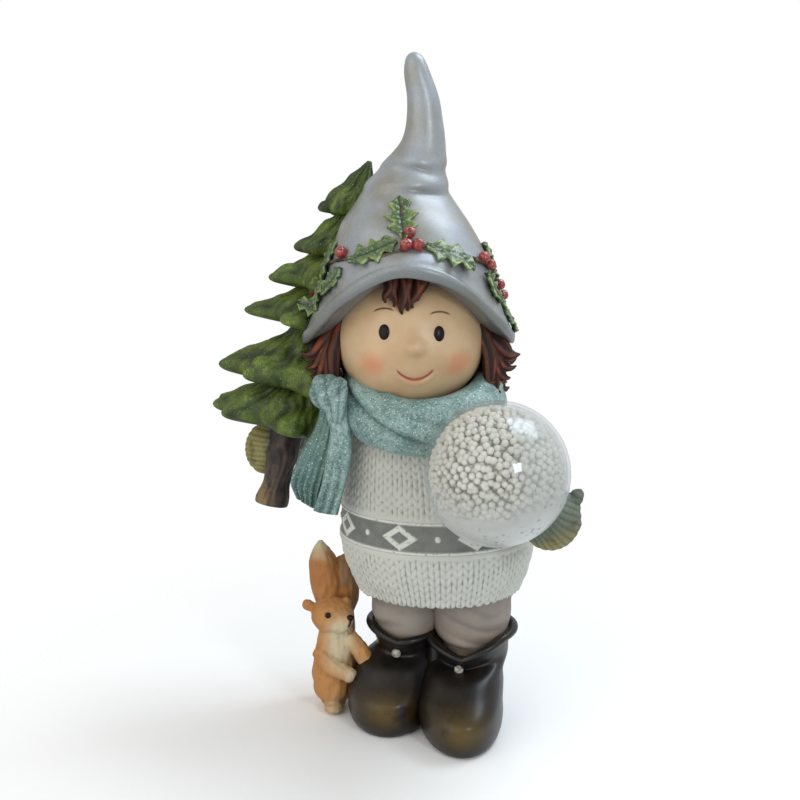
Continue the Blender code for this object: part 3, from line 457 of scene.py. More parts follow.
def buildSweater():
    s = sweater
    around = s["columns"] * s["perColumn"]
    column = np.arange(around) / s["perColumn"]
    wool = knitPaint("white_knit", s["white"], s["shade"], s["patchyShade"])
    parts = (("sweater_skirt", 0.0, s["bandLow"], 3), ("sweater_top", s["bandHigh"], s["topEnd"], 5))
    for name, low, high, seed in parts:
        heights, run = evenHeights(low, high, 0.56)
        grid = sweaterGrid(heights, around)
        wander = lumps(grid, 14, seed) * 0.18
        row = run[:, None] / s["stitchHeight"] + wander
        yarn = stitches(column[None] + 0.25 * wander, row)
        uneven = 0.8 + 0.2 * lumps(grid, 5, seed + 1)
        height = s["stitchDepth"] * (yarn * uneven - 0.6) + 0.35 * lumps(grid, 22, seed + 2)
        # the stitches fade out beside the band, where the knit ends in a smooth rim
        rim = run if low else run[-1] - run
        calm = ease(0.8, 4.2, rim + 0.8 * np.sin(np.linspace(0, 60, len(run))))[:, None]
        height = height * calm + 0.35 * (1 - calm)
        edge = ease(0, 1.2, run - 0.2)[:, None] * ease(0, 1.2, run[-1] - run - 0.2)[:, None]
        if low == 0:
            scallop = np.abs(np.cos(math.pi * column))[None] * np.exp(-run / 1.6)[:, None]
            grid[..., 2] -= 1.3 * scallop
            edge = ease(-1.0, 0.6, run)[:, None] * ease(0, 1.2, run[-1] - run - 0.2)[:, None]
        grid = relief(grid, height * edge - 0.5 * (1 - edge))
        # the grooves between the stitches are marked for painted shade
        cavity = 1 - (1 - (1 - yarn) * calm) * edge
        if low == 0:
            # the hem turns under towards the trousers
            under = [sweaterGrid([1.2 + 0.7 * k], around, inset=1.5 + 2.2 * k) for k in range(5, -1, -1)]
            grid = np.concatenate([*under, grid])
            # the turned-under hem is all painted shade
            cavity = np.concatenate([np.full((6, around), 0.9), cavity])
        piece(name, layers(skin(name, grid), cavity=cavity), wool)

    around = 720
    angle = np.arange(around) * 360 / around
    heights = np.linspace(s["bandLow"] - 0.6, s["bandHigh"] + 0.6, 34)
    grid = sweaterGrid(heights, around)
    wide = s["halfWidth"]
    middle = (s["bandLow"] + s["bandHigh"]) / 2
    across = ((angle * s["diamonds"] / 360) % 1.0 - 0.5) * (2 * math.pi * wide / s["diamonds"])
    upward = np.abs(heights - middle)[:, None]
    reach = np.abs(across)[None] / (s["diamondWidth"] / 2) + upward / (s["diamondHeight"] / 2)
    diamond = ease(1.03, 0.95, reach) * ease(0.46, 0.53, reach)
    between = ((angle * s["diamonds"] / 360 + 0.5) % 1.0 - 0.5) * (2 * math.pi * wide / s["diamonds"])
    dot = ease(1.9, 1.3, np.hypot(between[None] * 1.1, (heights - middle)[:, None]))
    lipLow = bell(heights - s["bandLow"], 1.0)
    lipHigh = bell(heights - s["bandHigh"], 1.0)
    border = np.clip(lipLow + lipHigh, 0, 1)[:, None] * np.ones(around)
    height = -s["bandRecess"] + 0.55 * diamond + 0.5 * dot + 1.1 * border + 0.12 * lumps(grid, 6, 8)
    paint = Paint("grey_band")
    cloth = paint.mix(paint.noise(7, 4).between(0.3, 0.75), s["grey"], (98, 101, 98))
    chip = paint.noise(1.3, 3).between(0.30, 0.42)
    white = paint.mix(paint.noise(4, 3), s["pale"], (214, 214, 206))
    tone = paint.mix(paint.layer("white") * chip, cloth, white)
    paint.use(Base_Color=tone, Roughness=0.5 + 0.2 * paint.noise(2, 2))
    paint.bump(paint.noise(0.7, 3), 0.09, 0.7)
    made = skin("sweater_band", relief(grid, height))
    painted = np.clip(diamond + dot + ease(0.35, 0.6, border), 0, 1)
    piece("sweater_band", layers(made, white=painted), paint.material)


buildSweater()
print("sweater knitted")

# Hat

hat = {
    "brimWidth": 56.0, "brimDepth": 47.0, "frontLift": 39.5, "thick": 5.0, "crown": 39.5,
    "crownHeight": 63.0, "hornHeight": 85.0, "lip": 207.5,
    "horn": [(0.15, -3.0, 24.4), (0.19, -2.6, 22.2), (0.24, -1.9, 21.3), (0.31, 0.4, 17.5), (0.36, 2.1, 16.6),
             (0.43, 4.5, 13.8), (0.50, 6.4, 11.7), (0.59, 7.0, 10.2), (0.74, 6.3, 8.5), (0.88, 3.4, 6.5),
             (0.955, 2.2, 4.6), (0.988, 1.8, 2.8), (1.0, 1.6, 0.6)],
    # creases in the horn: height, slope by degree, bearing, spread in degrees, depth, width
    "creases": [(299.4, -0.07, 2, 30, 1.1, 1.6), (287.2, -0.03, 26, 38, 0.9, 1.8),
                (292.0, 0.05, 175, 50, 0.6, 2.2), (281.0, -0.04, -130, 45, 0.5, 2.4)],
    # deep is the painted shade in the creases
    "pearl": {"light": (156, 163, 170), "mid": (142, 140, 131), "deep": (78, 80, 76), "lip": (108, 112, 112),
              "metal": 0.3, "roughness": 0.3, "unevenness": 0.16},
}


def hatRows():
    h = hat
    lip, lift = h["lip"], h["frontLift"]
    wide, deep, crown, thick = h["brimWidth"], h["brimDepth"], h["crown"], h["thick"]
    rows = [
        (lip + 11, -1, 0, 33, 28, lift * 0.72), (lip + 5, -1, 0, 44, 38, lift * 0.9),
        (lip + 1.6, -1, 0, wide - thick, deep - thick, lift),
        (lip - 0.2, -1, 0, wide - 2.4, deep - 2.4, lift), (lip + 0.5, -1, 0, wide - 0.2, deep - 0.2, lift),
        (lip + thick, -1, 0, wide + 0.1, deep + 0.1, lift),
        (lip + thick + 3, -1, 0, wide - 2.0, deep - 1.6, lift * 0.97),
        (lip + 14, -1, 0, wide - 4.5, deep - 3, lift * 0.82),
        (lip + 28, -1, 0, (wide + crown) / 2 - 1.5, (deep + crown) / 2 - 1, lift * 0.52),
        (lip + 41, -1, 1, crown + 2.8, crown + 0.8, lift * 0.25),
        (lip + 50, -1.5, 2, crown - 0.8, crown - 2, lift * 0.08),
        (lip + h["crownHeight"], -3, 3, crown - 6.4, crown - 6.4, 0),
    ]
    top = lip + h["crownHeight"]
    for share, x, radius in h["horn"]:
        rows.append((top + h["hornHeight"] * share, x, 4 - 3 * share, radius, radius * 0.97, 0))
    rows = np.array(rows, float)
    rows[:, 1] += stance["face"][0]
    rows[:, 2] += stance["face"][1] + 6
    return rows


def hatAt(angle, height):
    # a point on the hat at a bearing and a height above the lip's lowest edge, with its directions
    rows = through(hatRows()[4:], 400, by=4)

    def ring(bearing, row):
        sideways, forward = polar(bearing)
        lift = row[5] * max(0.0, -forward) ** 2
        return np.array([row[1] + row[3] * sideways, row[2] + row[4] * forward, row[0] + lift])

    forward = polar(angle)[1]
    levels = rows[:, 0] + rows[:, 5] * max(0.0, -forward) ** 2
    near = int(np.argmin(np.abs(levels[20:] - hat["lip"] - height))) + 20
    here = ring(angle, rows[near])
    across = ring(angle + 2, rows[near]) - ring(angle - 2, rows[near])
    across /= np.linalg.norm(across)
    rise = ring(angle, rows[min(near + 4, 399)]) - ring(angle, rows[near - 4])
    rise -= across * (rise @ across)
    rise /= np.linalg.norm(rise)
    return here, across, rise, np.cross(across, rise)


def buildHat():
    rows = through(hatRows(), 150, by=4)
    around = 200
    grid = ovalGrid(rows, around)
    angle = np.arange(around)[None] * 360 / around
    level = grid[..., 2]
    height = 0.45 * lumps(grid, 26, 11) * ease(hat["lip"] + 12, hat["lip"] + 40, level)
    cavity = np.zeros_like(level)
    for z, slope, bearing, spread, depth, width in hat["creases"]:
        turn = (angle - bearing + 180) % 360 - 180
        line = level - z - slope * turn + 0.4 * np.sin(np.radians(4 * angle + z))
        fade = bell(turn, spread)
        groove = bell(line, width)
        above = bell(line - 2.3 * width, 1.9 * width)
        below = bell(line + 2.3 * width, 1.9 * width)
        height += depth * fade * (0.55 * above + 0.35 * below - groove)
        # the groove of each crease is marked for painted shade
        cavity += 0.6 * fade * groove
    risen = rows[:, 5:6] * np.maximum(0, np.cos(np.radians(angle))) ** 2
    lip = ease(hat["lip"] + 9, hat["lip"] + 3, level - risen)
    height += 0.35 * lumps(grid, 12, 12) * lip
    made = skin("hat", relief(grid, height))
    piece("hat", layers(made, cavity=np.clip(cavity, 0, 1), lip=lip), pearlPaint(hat["pearl"]))


buildHat()
print("hat turned")

# Head

head = {
    "radii": (38.0, 36.9, 36.5), "skin": (197, 169, 132), "warm": (187, 155, 118), "blush": (202, 118, 80),
    "cheeks": ((-19.5, -8.2), (24.5, -8.0)), "lipColour": (146, 60, 48), "brow": (72, 52, 40),
    "eyes": ((-13.4, 8.6), (14.0, 7.8)), "eyeSize": (2.8, 1.3, 3.9),
    "nose": (1.6, 1.2), "mouth": (2.0, -15.4), "mouthHalf": 9.3, "mouthSag": 5.1,
    # middle across and up, bend, tilt
    "brows": ((-13.6, 19.8, -0.05, 0.09), (14.4, 18.2, -0.05, -0.08)),
}


def facePaint():
    h = head
    paint = Paint("face_paint", Coat_Weight=0.25, Coat_Roughness=0.3, Subsurface_Weight=0.06,
                  Subsurface_Scale=0.004)
    paint.shader.inputs["Subsurface Radius"].default_value = (1.0, 0.4, 0.25)
    px, py, pz = (paint.axis(i, stance["face"]) for i in range(3))
    facing = 1 - py.between(-12, -4)
    tone = paint.mix(paint.noise(18, 3).between(0.35, 0.7), h["skin"], h["warm"])
    for cx, cz in h["cheeks"]:
        away = ((px - cx) ** 2 + (pz - cz) ** 2) ** 0.5
        tone = paint.mix((1 - away.between(1.0, 9.5)) * facing * 0.62, tone, h["blush"])
    mx, mz = h["mouth"]
    aside = (px - mx).size()
    sagging = pz - mz - h["mouthSag"] / h["mouthHalf"] ** 2 * (px - mx) ** 2
    line = (1 - sagging.size().between(0.45, 1.05)) * (1 - aside.between(8.2, 9.8)) * facing
    tone = paint.mix(line * 0.92, tone, h["lipColour"])
    lower = (1 - (sagging + 1.6).size().between(0.5, 1.5)) * (1 - aside.between(2.5, 5.5)) * facing
    tone = paint.mix(lower * 0.35, tone, h["blush"])
    for cx, cz, bend, tilt in h["brows"]:
        arch = (pz - cz) - (px - cx) ** 2 * bend - (px - cx) * tilt
        stroke = (1 - arch.size().between(0.28, 0.62)) * (1 - (px - cx).size().between(3.6, 5.8)) * facing
        tone = paint.mix(stroke * 0.9, tone, h["brow"])
    paint.use(Base_Color=tone, Roughness=0.4 + 0.1 * paint.noise(5, 3))
    paint.bump(paint.noise(9, 3), 0.12, 0.5)
    return paint.material


def buildHead():
    h = head
    grid = ballGrid(stance["face"], h["radii"], 110, 150)
    local = grid - stance["face"]
    x, z = local[..., 0], local[..., 2]
    front = local[..., 1] < 0

    def hump(cx, cz, width, tall):
        return front * np.exp(-(((x - cx) / width) ** 2) - ((z - cz) / tall) ** 2)

    height = 1.2 * hump(-19, -9, 13, 11) + 1.2 * hump(24, -8, 13, 11) + 0.7 * hump(3, -27, 10, 7)
    height -= 0.7 * hump(-13, 9, 8, 7) + 0.7 * hump(14, 8.5, 8, 7)
    button = np.hypot((x - h["nose"][0]) / 4.5, (z - h["nose"][1]) / 3.9)
    height += front * 3.6 * np.exp(-(button ** 2.6))
    mx, mz = h["mouth"]
    smile = z - mz - h["mouthSag"] / h["mouthHalf"] ** 2 * (x - mx) ** 2
    mouth = front * ease(10.5, 8.0, np.abs(x - mx))
    height -= 0.8 * mouth * bell(smile, 0.8)
    height += 0.6 * mouth * bell(smile + 2.2, 1.6)
    piece("head", skin("head", relief(grid, height)), facePaint())

    gloss = Paint("eye_black", Roughness=0.3, Specular_IOR_Level=0.2)
    gloss.use(Base_Color=gloss.mix(gloss.noise(2, 2), (18, 14, 13), (32, 23, 20)))
    for side, (ex, ez) in zip(("right", "left"), h["eyes"]):
        bulge = 1 - (ex / h["radii"][0]) ** 2 - (ez / h["radii"][2]) ** 2
        centre = stance["face"] + np.array([ex, 0.45 - h["radii"][1] * math.sqrt(bulge), ez])
        eye = skin("eye_" + side, ballGrid(centre, h["eyeSize"], 20, 32, turn=(-12, 0, ex * 1.6)))
        piece("eye_" + side, eye, gloss.material)


buildHead()
print("head painted")

# Hair

hair = {
    "dark": (36, 21, 17), "brown": (82, 48, 36), "auburn": (132, 64, 40),
    # out from the head, fall, place from front to back, thickness
    "sideLocks": [
        (17, -8, -4, 5.6), (15, -15, -5, 4.6), (12, -20, -6, 5.4), (7, -27, -8, 5.2), (3.5, -22, -11, 4.2),
        (16, -13, 6, 6.0), (11, -24, 4, 6.0), (13, -30, 12, 6.0), (4, -31, -3, 4.6),
    ],
    # start across the forehead, tip across, tip height, thickness
    "tuft": [
        (-11.5, -12.6, 23.5, 4.3), (-8.0, -8.6, 21.5, 4.4), (-4.6, -4.4, 18.0, 4.6), (-0.8, -1.8, 19.6, 4.4),
        (3.2, 0.8, 21.0, 4.3), (7.2, 3.4, 24.5, 4.0),
    ],
    "backLocks": 22, "cap": (38.0, 34.0, 31.5),
}


def lock(path, ribs=4, flat=0.8):
    # one carved lock of hair with grooves along it, and how deep each point lies in them
    count, around = 26, 22

    def grooved(turn, share):
        return 1 + 0.12 * np.cos(ribs * turn + 2.5 * share)

    grid = tubeGrid(path, count, around, flat=flat, shape=grooved)
    turn = circle(around)
    share = np.linspace(0, 1, count)[:, None]
    return skin("lock", grid), (0.5 - 0.5 * np.cos(ribs * turn + 2.5 * share)).ravel()


def buildHair():
    face = stance["face"]
    draw = np.random.default_rng(4)
    meshes = []
    for side in (-1, 1):
        for out, drop, back, thick in hair["sideLocks"]:
            root = face + np.array([side * 38, back, 0])
            end = draw.uniform(-1, 2)
            meshes.append(lock(placed(root, [
                (side * -6, 4, 14, thick * 0.8), (side * -3, 5, 8, thick),
                (side * (1 + out * 0.3), 1, 3 + drop * 0.4, thick),
                (side * (out * 0.72), -1, drop * 0.85, thick * 0.72),
                (side * (out * 0.95), -1.5, drop * 0.97, thick * 0.35),
                (side * (out + 2), -1, drop + end, 0.4),
            ])))
    for i, (start, tip, low, thick) in enumerate(hair["tuft"]):
        wave = 1.1 * (-1) ** i
        meshes.append(lock(placed(face, [
            (start, -19, 40, thick), (start, -25, 34.5, thick),
            ((start + tip) / 2 + wave, -29.5, (34 + low) / 2, thick * 0.9),
            (tip - wave * 0.5, -31.5 + (low - 18) * 0.2, low + 2.4, thick * 0.5),
            (tip, -32 + (low - 18) * 0.2, low - 0.6, 0.8),
        ]), ribs=3, flat=0.7))
    middle = face + np.array([0, 9, -3])
    size = np.array(hair["cap"])
    # the cap under the locks takes painted shade all over
    meshes.append((skin("cap", ballGrid(middle, size, 24, 36)), np.full(24 * 36, 0.8)))
    for i in range(hair["backLocks"]):
        bearing = 98 + 164 * (i + 0.5) / hair["backLocks"] + draw.uniform(-3, 3)
        path = []
        for k, tilt in enumerate(np.radians(np.linspace(75, 158, 7))):
            sideways, forward = polar(bearing + 5 * math.sin(k * 1.3 + i * 1.9))
            reach = 1.0 if k < 6 else 1.1
            level = math.sin(tilt)
            way = np.array([sideways * level * reach, forward * level * reach, math.cos(tilt)])
            path.append((*(middle + size * way - (0, 0, i % 3)), (5.4, 6.0, 5.8, 5.4, 4.4, 3.0, 0.5)[k]))
        meshes.append(lock(path, ribs=5, flat=0.62))
    paint = Paint("hair_paint", Specular_IOR_Level=0.3)
    depth = paint.layer("cavity")
    # painted shade darkens the grooves between the strands and the cap under the locks
    tone = paint.mix(depth.between(0.15, 0.9), hair["brown"], hair["dark"])
    brushed = paint.noise(8, 3).between(0.53, 0.64) * (1 - depth).between(0.4, 0.95)
    tone = paint.mix(brushed * 0.8, tone, hair["auburn"])
    streak = paint.noise(2.2, 3, where=paint.stretched(1, 1, 0.25))
    paint.use(Base_Color=tone, Roughness=0.46 + 0.2 * streak)
    paint.bump(streak, 0.4, 0.7)
    whole = joined("hair", [mesh for mesh, _ in meshes])
    piece("hair", layers(whole, cavity=np.concatenate([depth for _, depth in meshes])), paint.material)


buildHair()
print("hair carved")

# Scarf

scarf = {
    # deep is painted shade in the folds, and green tints the back strip of the tail as painted shade
    "pale": (150, 175, 171), "teal": (97, 128, 124), "deep": (58, 86, 86), "green": (84, 114, 102),
    "spark": (224, 232, 230), "width": 36.4, "depth": 37.8, "halfHeight": 14.6, "thick": 8.6, "drop": 10.0,
    # the fold in front: bearing and height across the collar where it starts and ends, and its last bearing
    "fold": (-66, 0.62, 4, -0.6, 26),
    "tailLength": 62.0, "tailWidth": 38.0, "tailThick": 9.0,
}


def glitterPaint(name, pale, teal, deep):
    paint = Paint(name, Coat_Weight=0.15, Coat_Roughness=0.3)
    depth = paint.layer("cavity")
    tone = paint.mix(paint.noise(14, 4).between(0.3, 0.7), teal, pale)
    # painted shade darkens the folds, the pleats and the grooves between the ribs
    tone = paint.mix(depth * 0.9, tone, deep)
    grain = paint.node("ShaderNodeSeparateColor", {}, {0: paint.cells(0.85, "Color")})
    tone = paint.mix(grain.between(0.65, 0.95) * 0.55, tone, deep)
    tone = paint.mix((1 - grain).between(0.7, 0.95) * 0.55, tone, pale)
    spark = paint.flecks(0.8, 0.15)
    tone = paint.mix(spark * (1 - depth * 0.6), tone, scarf["spark"])
    paint.use(Base_Color=tone, Roughness=0.5 - 0.2 * spark, Metallic=0.25 * spark)
    paint.bump(grain + paint.noise(1.4, 3), 0.16, 0.7)
    return paint.material


def collar():
    # one broad wrap, whose upper part laps over the lower part on a slant below the chin
    c = scarf
    turn = circle(60)
    bearing = np.linspace(0, 360, 240, endpoint=False)
    ones, lean = np.ones(len(bearing)), 0.25
    sideways, forward = polar(bearing)
    neck = stance["neck"]
    level = neck[2] + 5 - c["drop"] * np.maximum(0, -forward) ** 1.5
    at = np.stack([neck[0] + c["width"] * sideways, neck[1] + c["depth"] * forward, level], axis=-1)[:, None]
    out = np.stack([sideways, forward, ones * lean], axis=-1) / math.hypot(1, lean)
    rise = np.stack([-sideways * lean, -forward * lean, ones], axis=-1) / math.hypot(1, lean)
    wide = c["thick"] * np.sign(np.cos(turn)) * np.abs(np.cos(turn)) ** 0.8
    tall = c["halfHeight"] * np.sin(turn)
    grid = at + out[:, None] * wide[None, :, None] + rise[:, None] * tall[None, :, None]
    angle = ((bearing + 180) % 360 - 180)[:, None]
    start, high, end, low, last = c["fold"]
    line = c["halfHeight"] * (high + (low - high) * (angle - start) / (end - start))
    over = tall[None] - line
    outer = ease(-0.1, 0.3, np.cos(turn))[None]
    fade = ease(start - 14, start + 4, angle) * ease(last, end - 8, angle) * outer
    height = fade * (1.9 * bell(over - 3.0, 3.4) - 2.4 * bell(over + 1.4, 1.7))
    crease = fade * bell(over + 0.9, 1.3)
    # a second, softer fold follows it, and a long shallow one runs round the back
    second = over - 11 + 0.05 * angle
    soft = ease(start - 20, start + 10, angle) * ease(62, 20, angle) * outer
    height += soft * (0.9 * bell(second - 2.4, 2.6) - 0.9 * bell(second, 1.6))
    behind = ease(60, 100, np.abs(angle)) * outer
    long = tall[None] - 2.0 - 3.0 * np.sin(np.radians(angle * 2 + 30))
    height += behind * (0.8 * bell(long - 3, 3.0) - 1.3 * bell(long, 1.8))
    # the creases are marked for painted shade
    cavity = crease + 0.4 * soft * bell(second, 1.5) + 0.6 * behind * bell(long, 1.6)
    height += 0.45 * lumps(grid, 16, 21) + 0.3 * lumps(grid, 7, 22, stretch=(2.2, 2.2, 1.0))
    return skin("wrap", relief(grid, height, True), loop=True), np.clip(cavity, 0, 1).ravel()


def knotMesh(knot):
    # a gathered knot whose pleats run down into the tail, with the collar's end drawn over it
    band = [(7, -3, 8, 3.0), (4, -6, 6, 3.8), (-1, -6.5, 1, 3.8), (-4.5, -5, -3, 3.0)]
    gather = [(5, -3, 5, 4.2), (4.5, -4, -3, 5.2), (3.5, -2.5, -10, 5.4), (2.5, 0, -16, 3.6)]
    shapes = [
        skin("knot", ballGrid(knot + (-1.5, 0, 1), (9.0, 8.8, 10.2), 50, 60, turn=(0, -20, 0))),
        skin("band", tubeGrid(placed(knot, band), 40, 36)),
        skin("gather", tubeGrid(placed(knot, gather), 40, 36)),
    ]
    made = fused("knot", shapes, 0.6, 4)
    spots = pointsOf(made)
    local = spots - knot
    fan = np.arctan2(local[:, 0] - 2, 26 + local[:, 2])
    pleat = np.cos(26 * fan + 0.7 * lumps(spots, 12, 31))
    pushed(made, 0.4 * pleat - 0.2)
    # the pleats' hollows are marked for painted shade
    return made, np.clip(-pleat, 0, 1) ** 2 * 0.75


def tailStrip(knot, left, right, thick, ribs, seed):
    # a strip between two edges given from the knot, which opens into broad ribs near its foot
    rows, around = 90, 120
    a, b = through(left, rows)[:, None], through(right, rows)[:, None]
    ring = circle(around)
    share = 0.5 - 0.5 * np.sign(np.cos(ring)) * np.abs(np.cos(ring)) ** 0.8
    depth = -thick * np.sign(np.sin(ring)) * np.abs(np.sin(ring)) ** 0.6
    grid = knot + a + (b - a) * share[None, :, None]
    grid[..., 1] += depth[None]
    part = np.linspace(0, 1, rows)[:, None]
    rib = -np.cos(2 * math.pi * (ribs * share[None] + 0.12 * np.sin(3 * part + seed)))
    fringe = ease(0.5, 0.85, part)
    height = (0.25 + 0.75 * fringe) * rib + 0.45 * lumps(grid, 12, seed)
    grid[..., 2] += 0.5 * ease(0.8, 1, part) * (rib - 1)
    # the grooves between the ribs are marked for painted shade
    groove = np.clip(-rib, 0, 1) ** 1.5 * (0.2 + 0.8 * fringe)
    return layers(skin("strip", relief(grid, height)), cavity=np.clip(groove, 0, 1))


def buildScarf():
    s = scarf
    glitter = glitterPaint("scarf_glitter", s["pale"], s["teal"], s["deep"])
    # the tail's back strip is a darker, greener copy of the glitter, as painted shade
    green = glitterPaint("scarf_glitter_shaded", s["teal"], s["green"], s["deep"])
    knot = stance["neck"] + np.array([-47, -24, 9])
    meshes = [collar(), knotMesh(knot)]
    whole = joined("scarf", [mesh for mesh, _ in meshes])
    piece("scarf", layers(whole, cavity=np.concatenate([depth for _, depth in meshes])), glitter)

    t, w, thick = s["tailLength"], s["tailWidth"], s["tailThick"] / 2
    back = tailStrip(
        knot,
        [(-4, 5, -2), (-5 - w * 0.1, 3, -t * 0.3), (-w * 0.45, 2, -t * 0.55), (-w * 0.57, 3, -t * 0.74),
         (-w * 0.49, 3, -t * 0.88)],
        [(6, 5, -4), (4, 3, -t * 0.35), (0, 2, -t * 0.7), (-3, 3, -t * 0.9), (-5, 3, -t)], thick, 6, 41)
    front = tailStrip(
        knot,
        [(-1, 0, -2), (-1, -3, -t * 0.35), (-4, -4, -t * 0.65), (-9.5, -3, -t * 0.96)],
        [(8, 0, -4), (11, -3, -t * 0.35), (10, -4, -t * 0.65), (4.5, -3, -t)], thick, 3, 42)
    piece("scarf_tail_back", back, green)
    piece("scarf_tail_front", front, glitter)


buildScarf()
print("scarf wound")

# Sleeves and mittens

arms = {
    "sleeve": 12.0, "around": 119, "perColumn": 8.5,
    # grey is painted light where the cool light falls; deep darkens random patches and, as painted shade, the
    # knit's grooves
    "yellow": (136, 130, 72), "grey": (102, 112, 98), "deep": (62, 60, 44),
}


def mittenPaint():
    paint = Paint("mitten_knit")
    depth = paint.layer("cavity")
    # painted light: the mittens are grey where the cool light falls and yellow elsewhere; painted shade
    # darkens the knit's grooves
    tone = paint.mix(paint.layer("grey"), arms["yellow"], arms["grey"])
    tone = paint.mix(paint.noise(6, 3).between(0.48, 0.7) * 0.6, tone, arms["deep"])
    tone = paint.mix(depth * 0.7, tone, arms["deep"])
    paint.use(Base_Color=tone, Roughness=0.68 - 0.1 * (1 - depth))
    paint.bump(paint.noise(0.7, 3) + 0.5 * paint.noise(2, 2), 0.2, 0.8)
    return paint.material


def buildArms():
    r = arms["sleeve"]
    hold, globe, neck = stance["hold"], stance["globe"], stance["neck"]
    hand = hold + np.array([-7, 10, 1])
    palm = globe + np.array([0.81, 0.45, -0.79]) * 35
    shoulder = np.array([neck[0] + 3, 0, neck[2]])
    wool = knitPaint("sleeve_knit", sweater["white"], sweater["shade"], sweater["patchyShade"])
    routes = {
        "sleeve_right": [
            *placed(shoulder, [(-20, 2, -6, r), (-34, 9, 0, r), (-47, 17, 1, r)]),
            *placed(hand, [(17, 10, 18, r), (13, 8, 1, r), (5, 3, -2, r * 0.8)]),
        ],
        "sleeve_left": [
            *placed(shoulder, [(20, 2, -12, r), (36, -3, -20, r * 1.05), (49, -12, -32, r * 1.05),
                               (54, -24, -44, r)]),
            *placed(palm, [(-1, 12, 0, r * 0.9)]),
        ],
    }
    for name, path in routes.items():
        grid = tubeGrid(path, 150, arms["around"])
        run = np.concatenate([[0], np.linalg.norm(np.diff(grid.mean(axis=1), axis=0), axis=1)]).cumsum()
        row = run[:, None] / sweater["stitchHeight"] + 0.2 * lumps(grid, 12, 51)
        yarn = stitches(np.arange(arms["around"])[None] / arms["perColumn"], row)
        height = 1.1 * (yarn - 0.6) + 0.6 * lumps(grid, 14, 52)
        # the grooves between the stitches are marked for painted shade
        piece(name, layers(skin(name, relief(grid, height)), cavity=1 - yarn), wool)

    finish = mittenPaint()
    fist = skin("palm", ballGrid(hand, (13, 11.4, 15), 30, 40, turn=(0, 8, 0)))
    made = fused("mitten_right", [fist], 0.7, 4)
    spots = pointsOf(made)
    along = spots[:, 2] + 0.08 * (spots[:, 0] - hand[0]) + 0.5 * lumps(spots, 10, 61)
    bearing = np.arctan2(spots[:, 1] - hand[1], spots[:, 0] - hand[0])
    bead = np.abs(np.cos(15 * bearing + 1.6 * np.floor(along / 2.9 + 0.5))) ** 0.6
    yarn = np.abs(np.cos(math.pi * along / 2.9)) ** 0.7 * (0.7 + 0.3 * bead)
    pushed(made, 0.7 * yarn - 0.45)
    # painted light: grey on the side that faces the cool light
    grey = ease(-5, 5, spots[:, 0] - hand[0])
    piece("mitten_right", layers(made, cavity=0.75 * (1 - yarn), grey=grey), finish)

    # the left mitten's ribs fan out from the round of the globe, and its thumb curls off it
    thumb = [(7, -1, 1, 9.5), (9.4, -1, 6, 5.6), (10.6, -1, 9.4, 4.2), (12.6, -1, 12.4, 3.7),
             (13.6, -1, 14.8, 2.5), (13.8, -1, 16, 1.0)]
    shapes = [
        skin("palm", ballGrid(palm, (14.8, 18.2, 15.6), 30, 40, turn=(0, 30, 0))),
        skin("thumb", tubeGrid(placed(palm, thumb), 30, 30)),
    ]
    made = fused("mitten_left", shapes, 0.7, 4)
    spots = pointsOf(made)
    away = spots - globe
    fan = np.arctan2(away[:, 2], away[:, 0]) * 42 + 0.6 * lumps(spots, 9, 62)
    ring = np.hypot(away[:, 0], away[:, 2])
    bead = np.abs(np.cos(math.pi * ring / 2.6 + 1.6 * np.floor(fan / 2.7 + 0.5))) ** 0.6
    yarn = np.abs(np.cos(math.pi * fan / 2.7)) ** 0.7 * (0.7 + 0.3 * bead)
    pushed(made, 0.45 * yarn - 0.3)
    # painted light: yellow only low down and away from the globe, grey where the cool light falls
    low = ease(4, -9, spots[:, 2] - palm[2]) * ease(38, 46, ring)
    piece("mitten_left", layers(made, cavity=1 - yarn, grey=1 - 0.9 * low), finish)


buildArms()
print("mittens knitted")

# Trousers and boots

legs = {
    # middle across, place from front to back, radius, how far the foot of the leg stands forward
    "left": (21.0, -4.0, 22.0, 4.0), "right": (-14.4, -1.0, 18.6, 0.5), "web": (1.5, 6.5, 13.5),
    # height, share of the radius
    "taper": ((40, 0.72), (45, 0.76), (49, 0.85), (58.4, 1.0), (66, 1.0), (74, 0.98), (84, 0.9)),
    "taupe": (141, 132, 124), "rose": (130, 121, 114), "shade": (100, 92, 86), "warm": (138, 120, 92),
}
boots = {
    # middle, shaft middle, half width, length, toe, shaft radius, notch depth, notch bearing, button bearing
    "left": (14.5, 20.5, 22.6, 85.0, -67.0, 20.5, 8.0, -14, -19),
    "right": (-24.0, -16.0, 22.5, 62.0, -42.0, 15.5, 4.0, -10, -14),
    "height": 50.0, "toeHeight": 19.0, "roll": 2.3, "flare": 3.0, "innerDip": 2.2, "around": 120,
    # the grey-blue tone after brown is a painted sheen
    "black": (20, 18, 18), "umber": (33, 27, 22), "brown": (88, 70, 24), "haze": (60, 58, 62),
    "button": (166, 162, 150),
}


def web(rows, y):
    # the filling between the legs or boots, from rows of height and share of its width
    x, wide, deep = legs["web"]
    return through([(z, x, y, wide * share, deep * share, 0) for z, share in rows], 24)


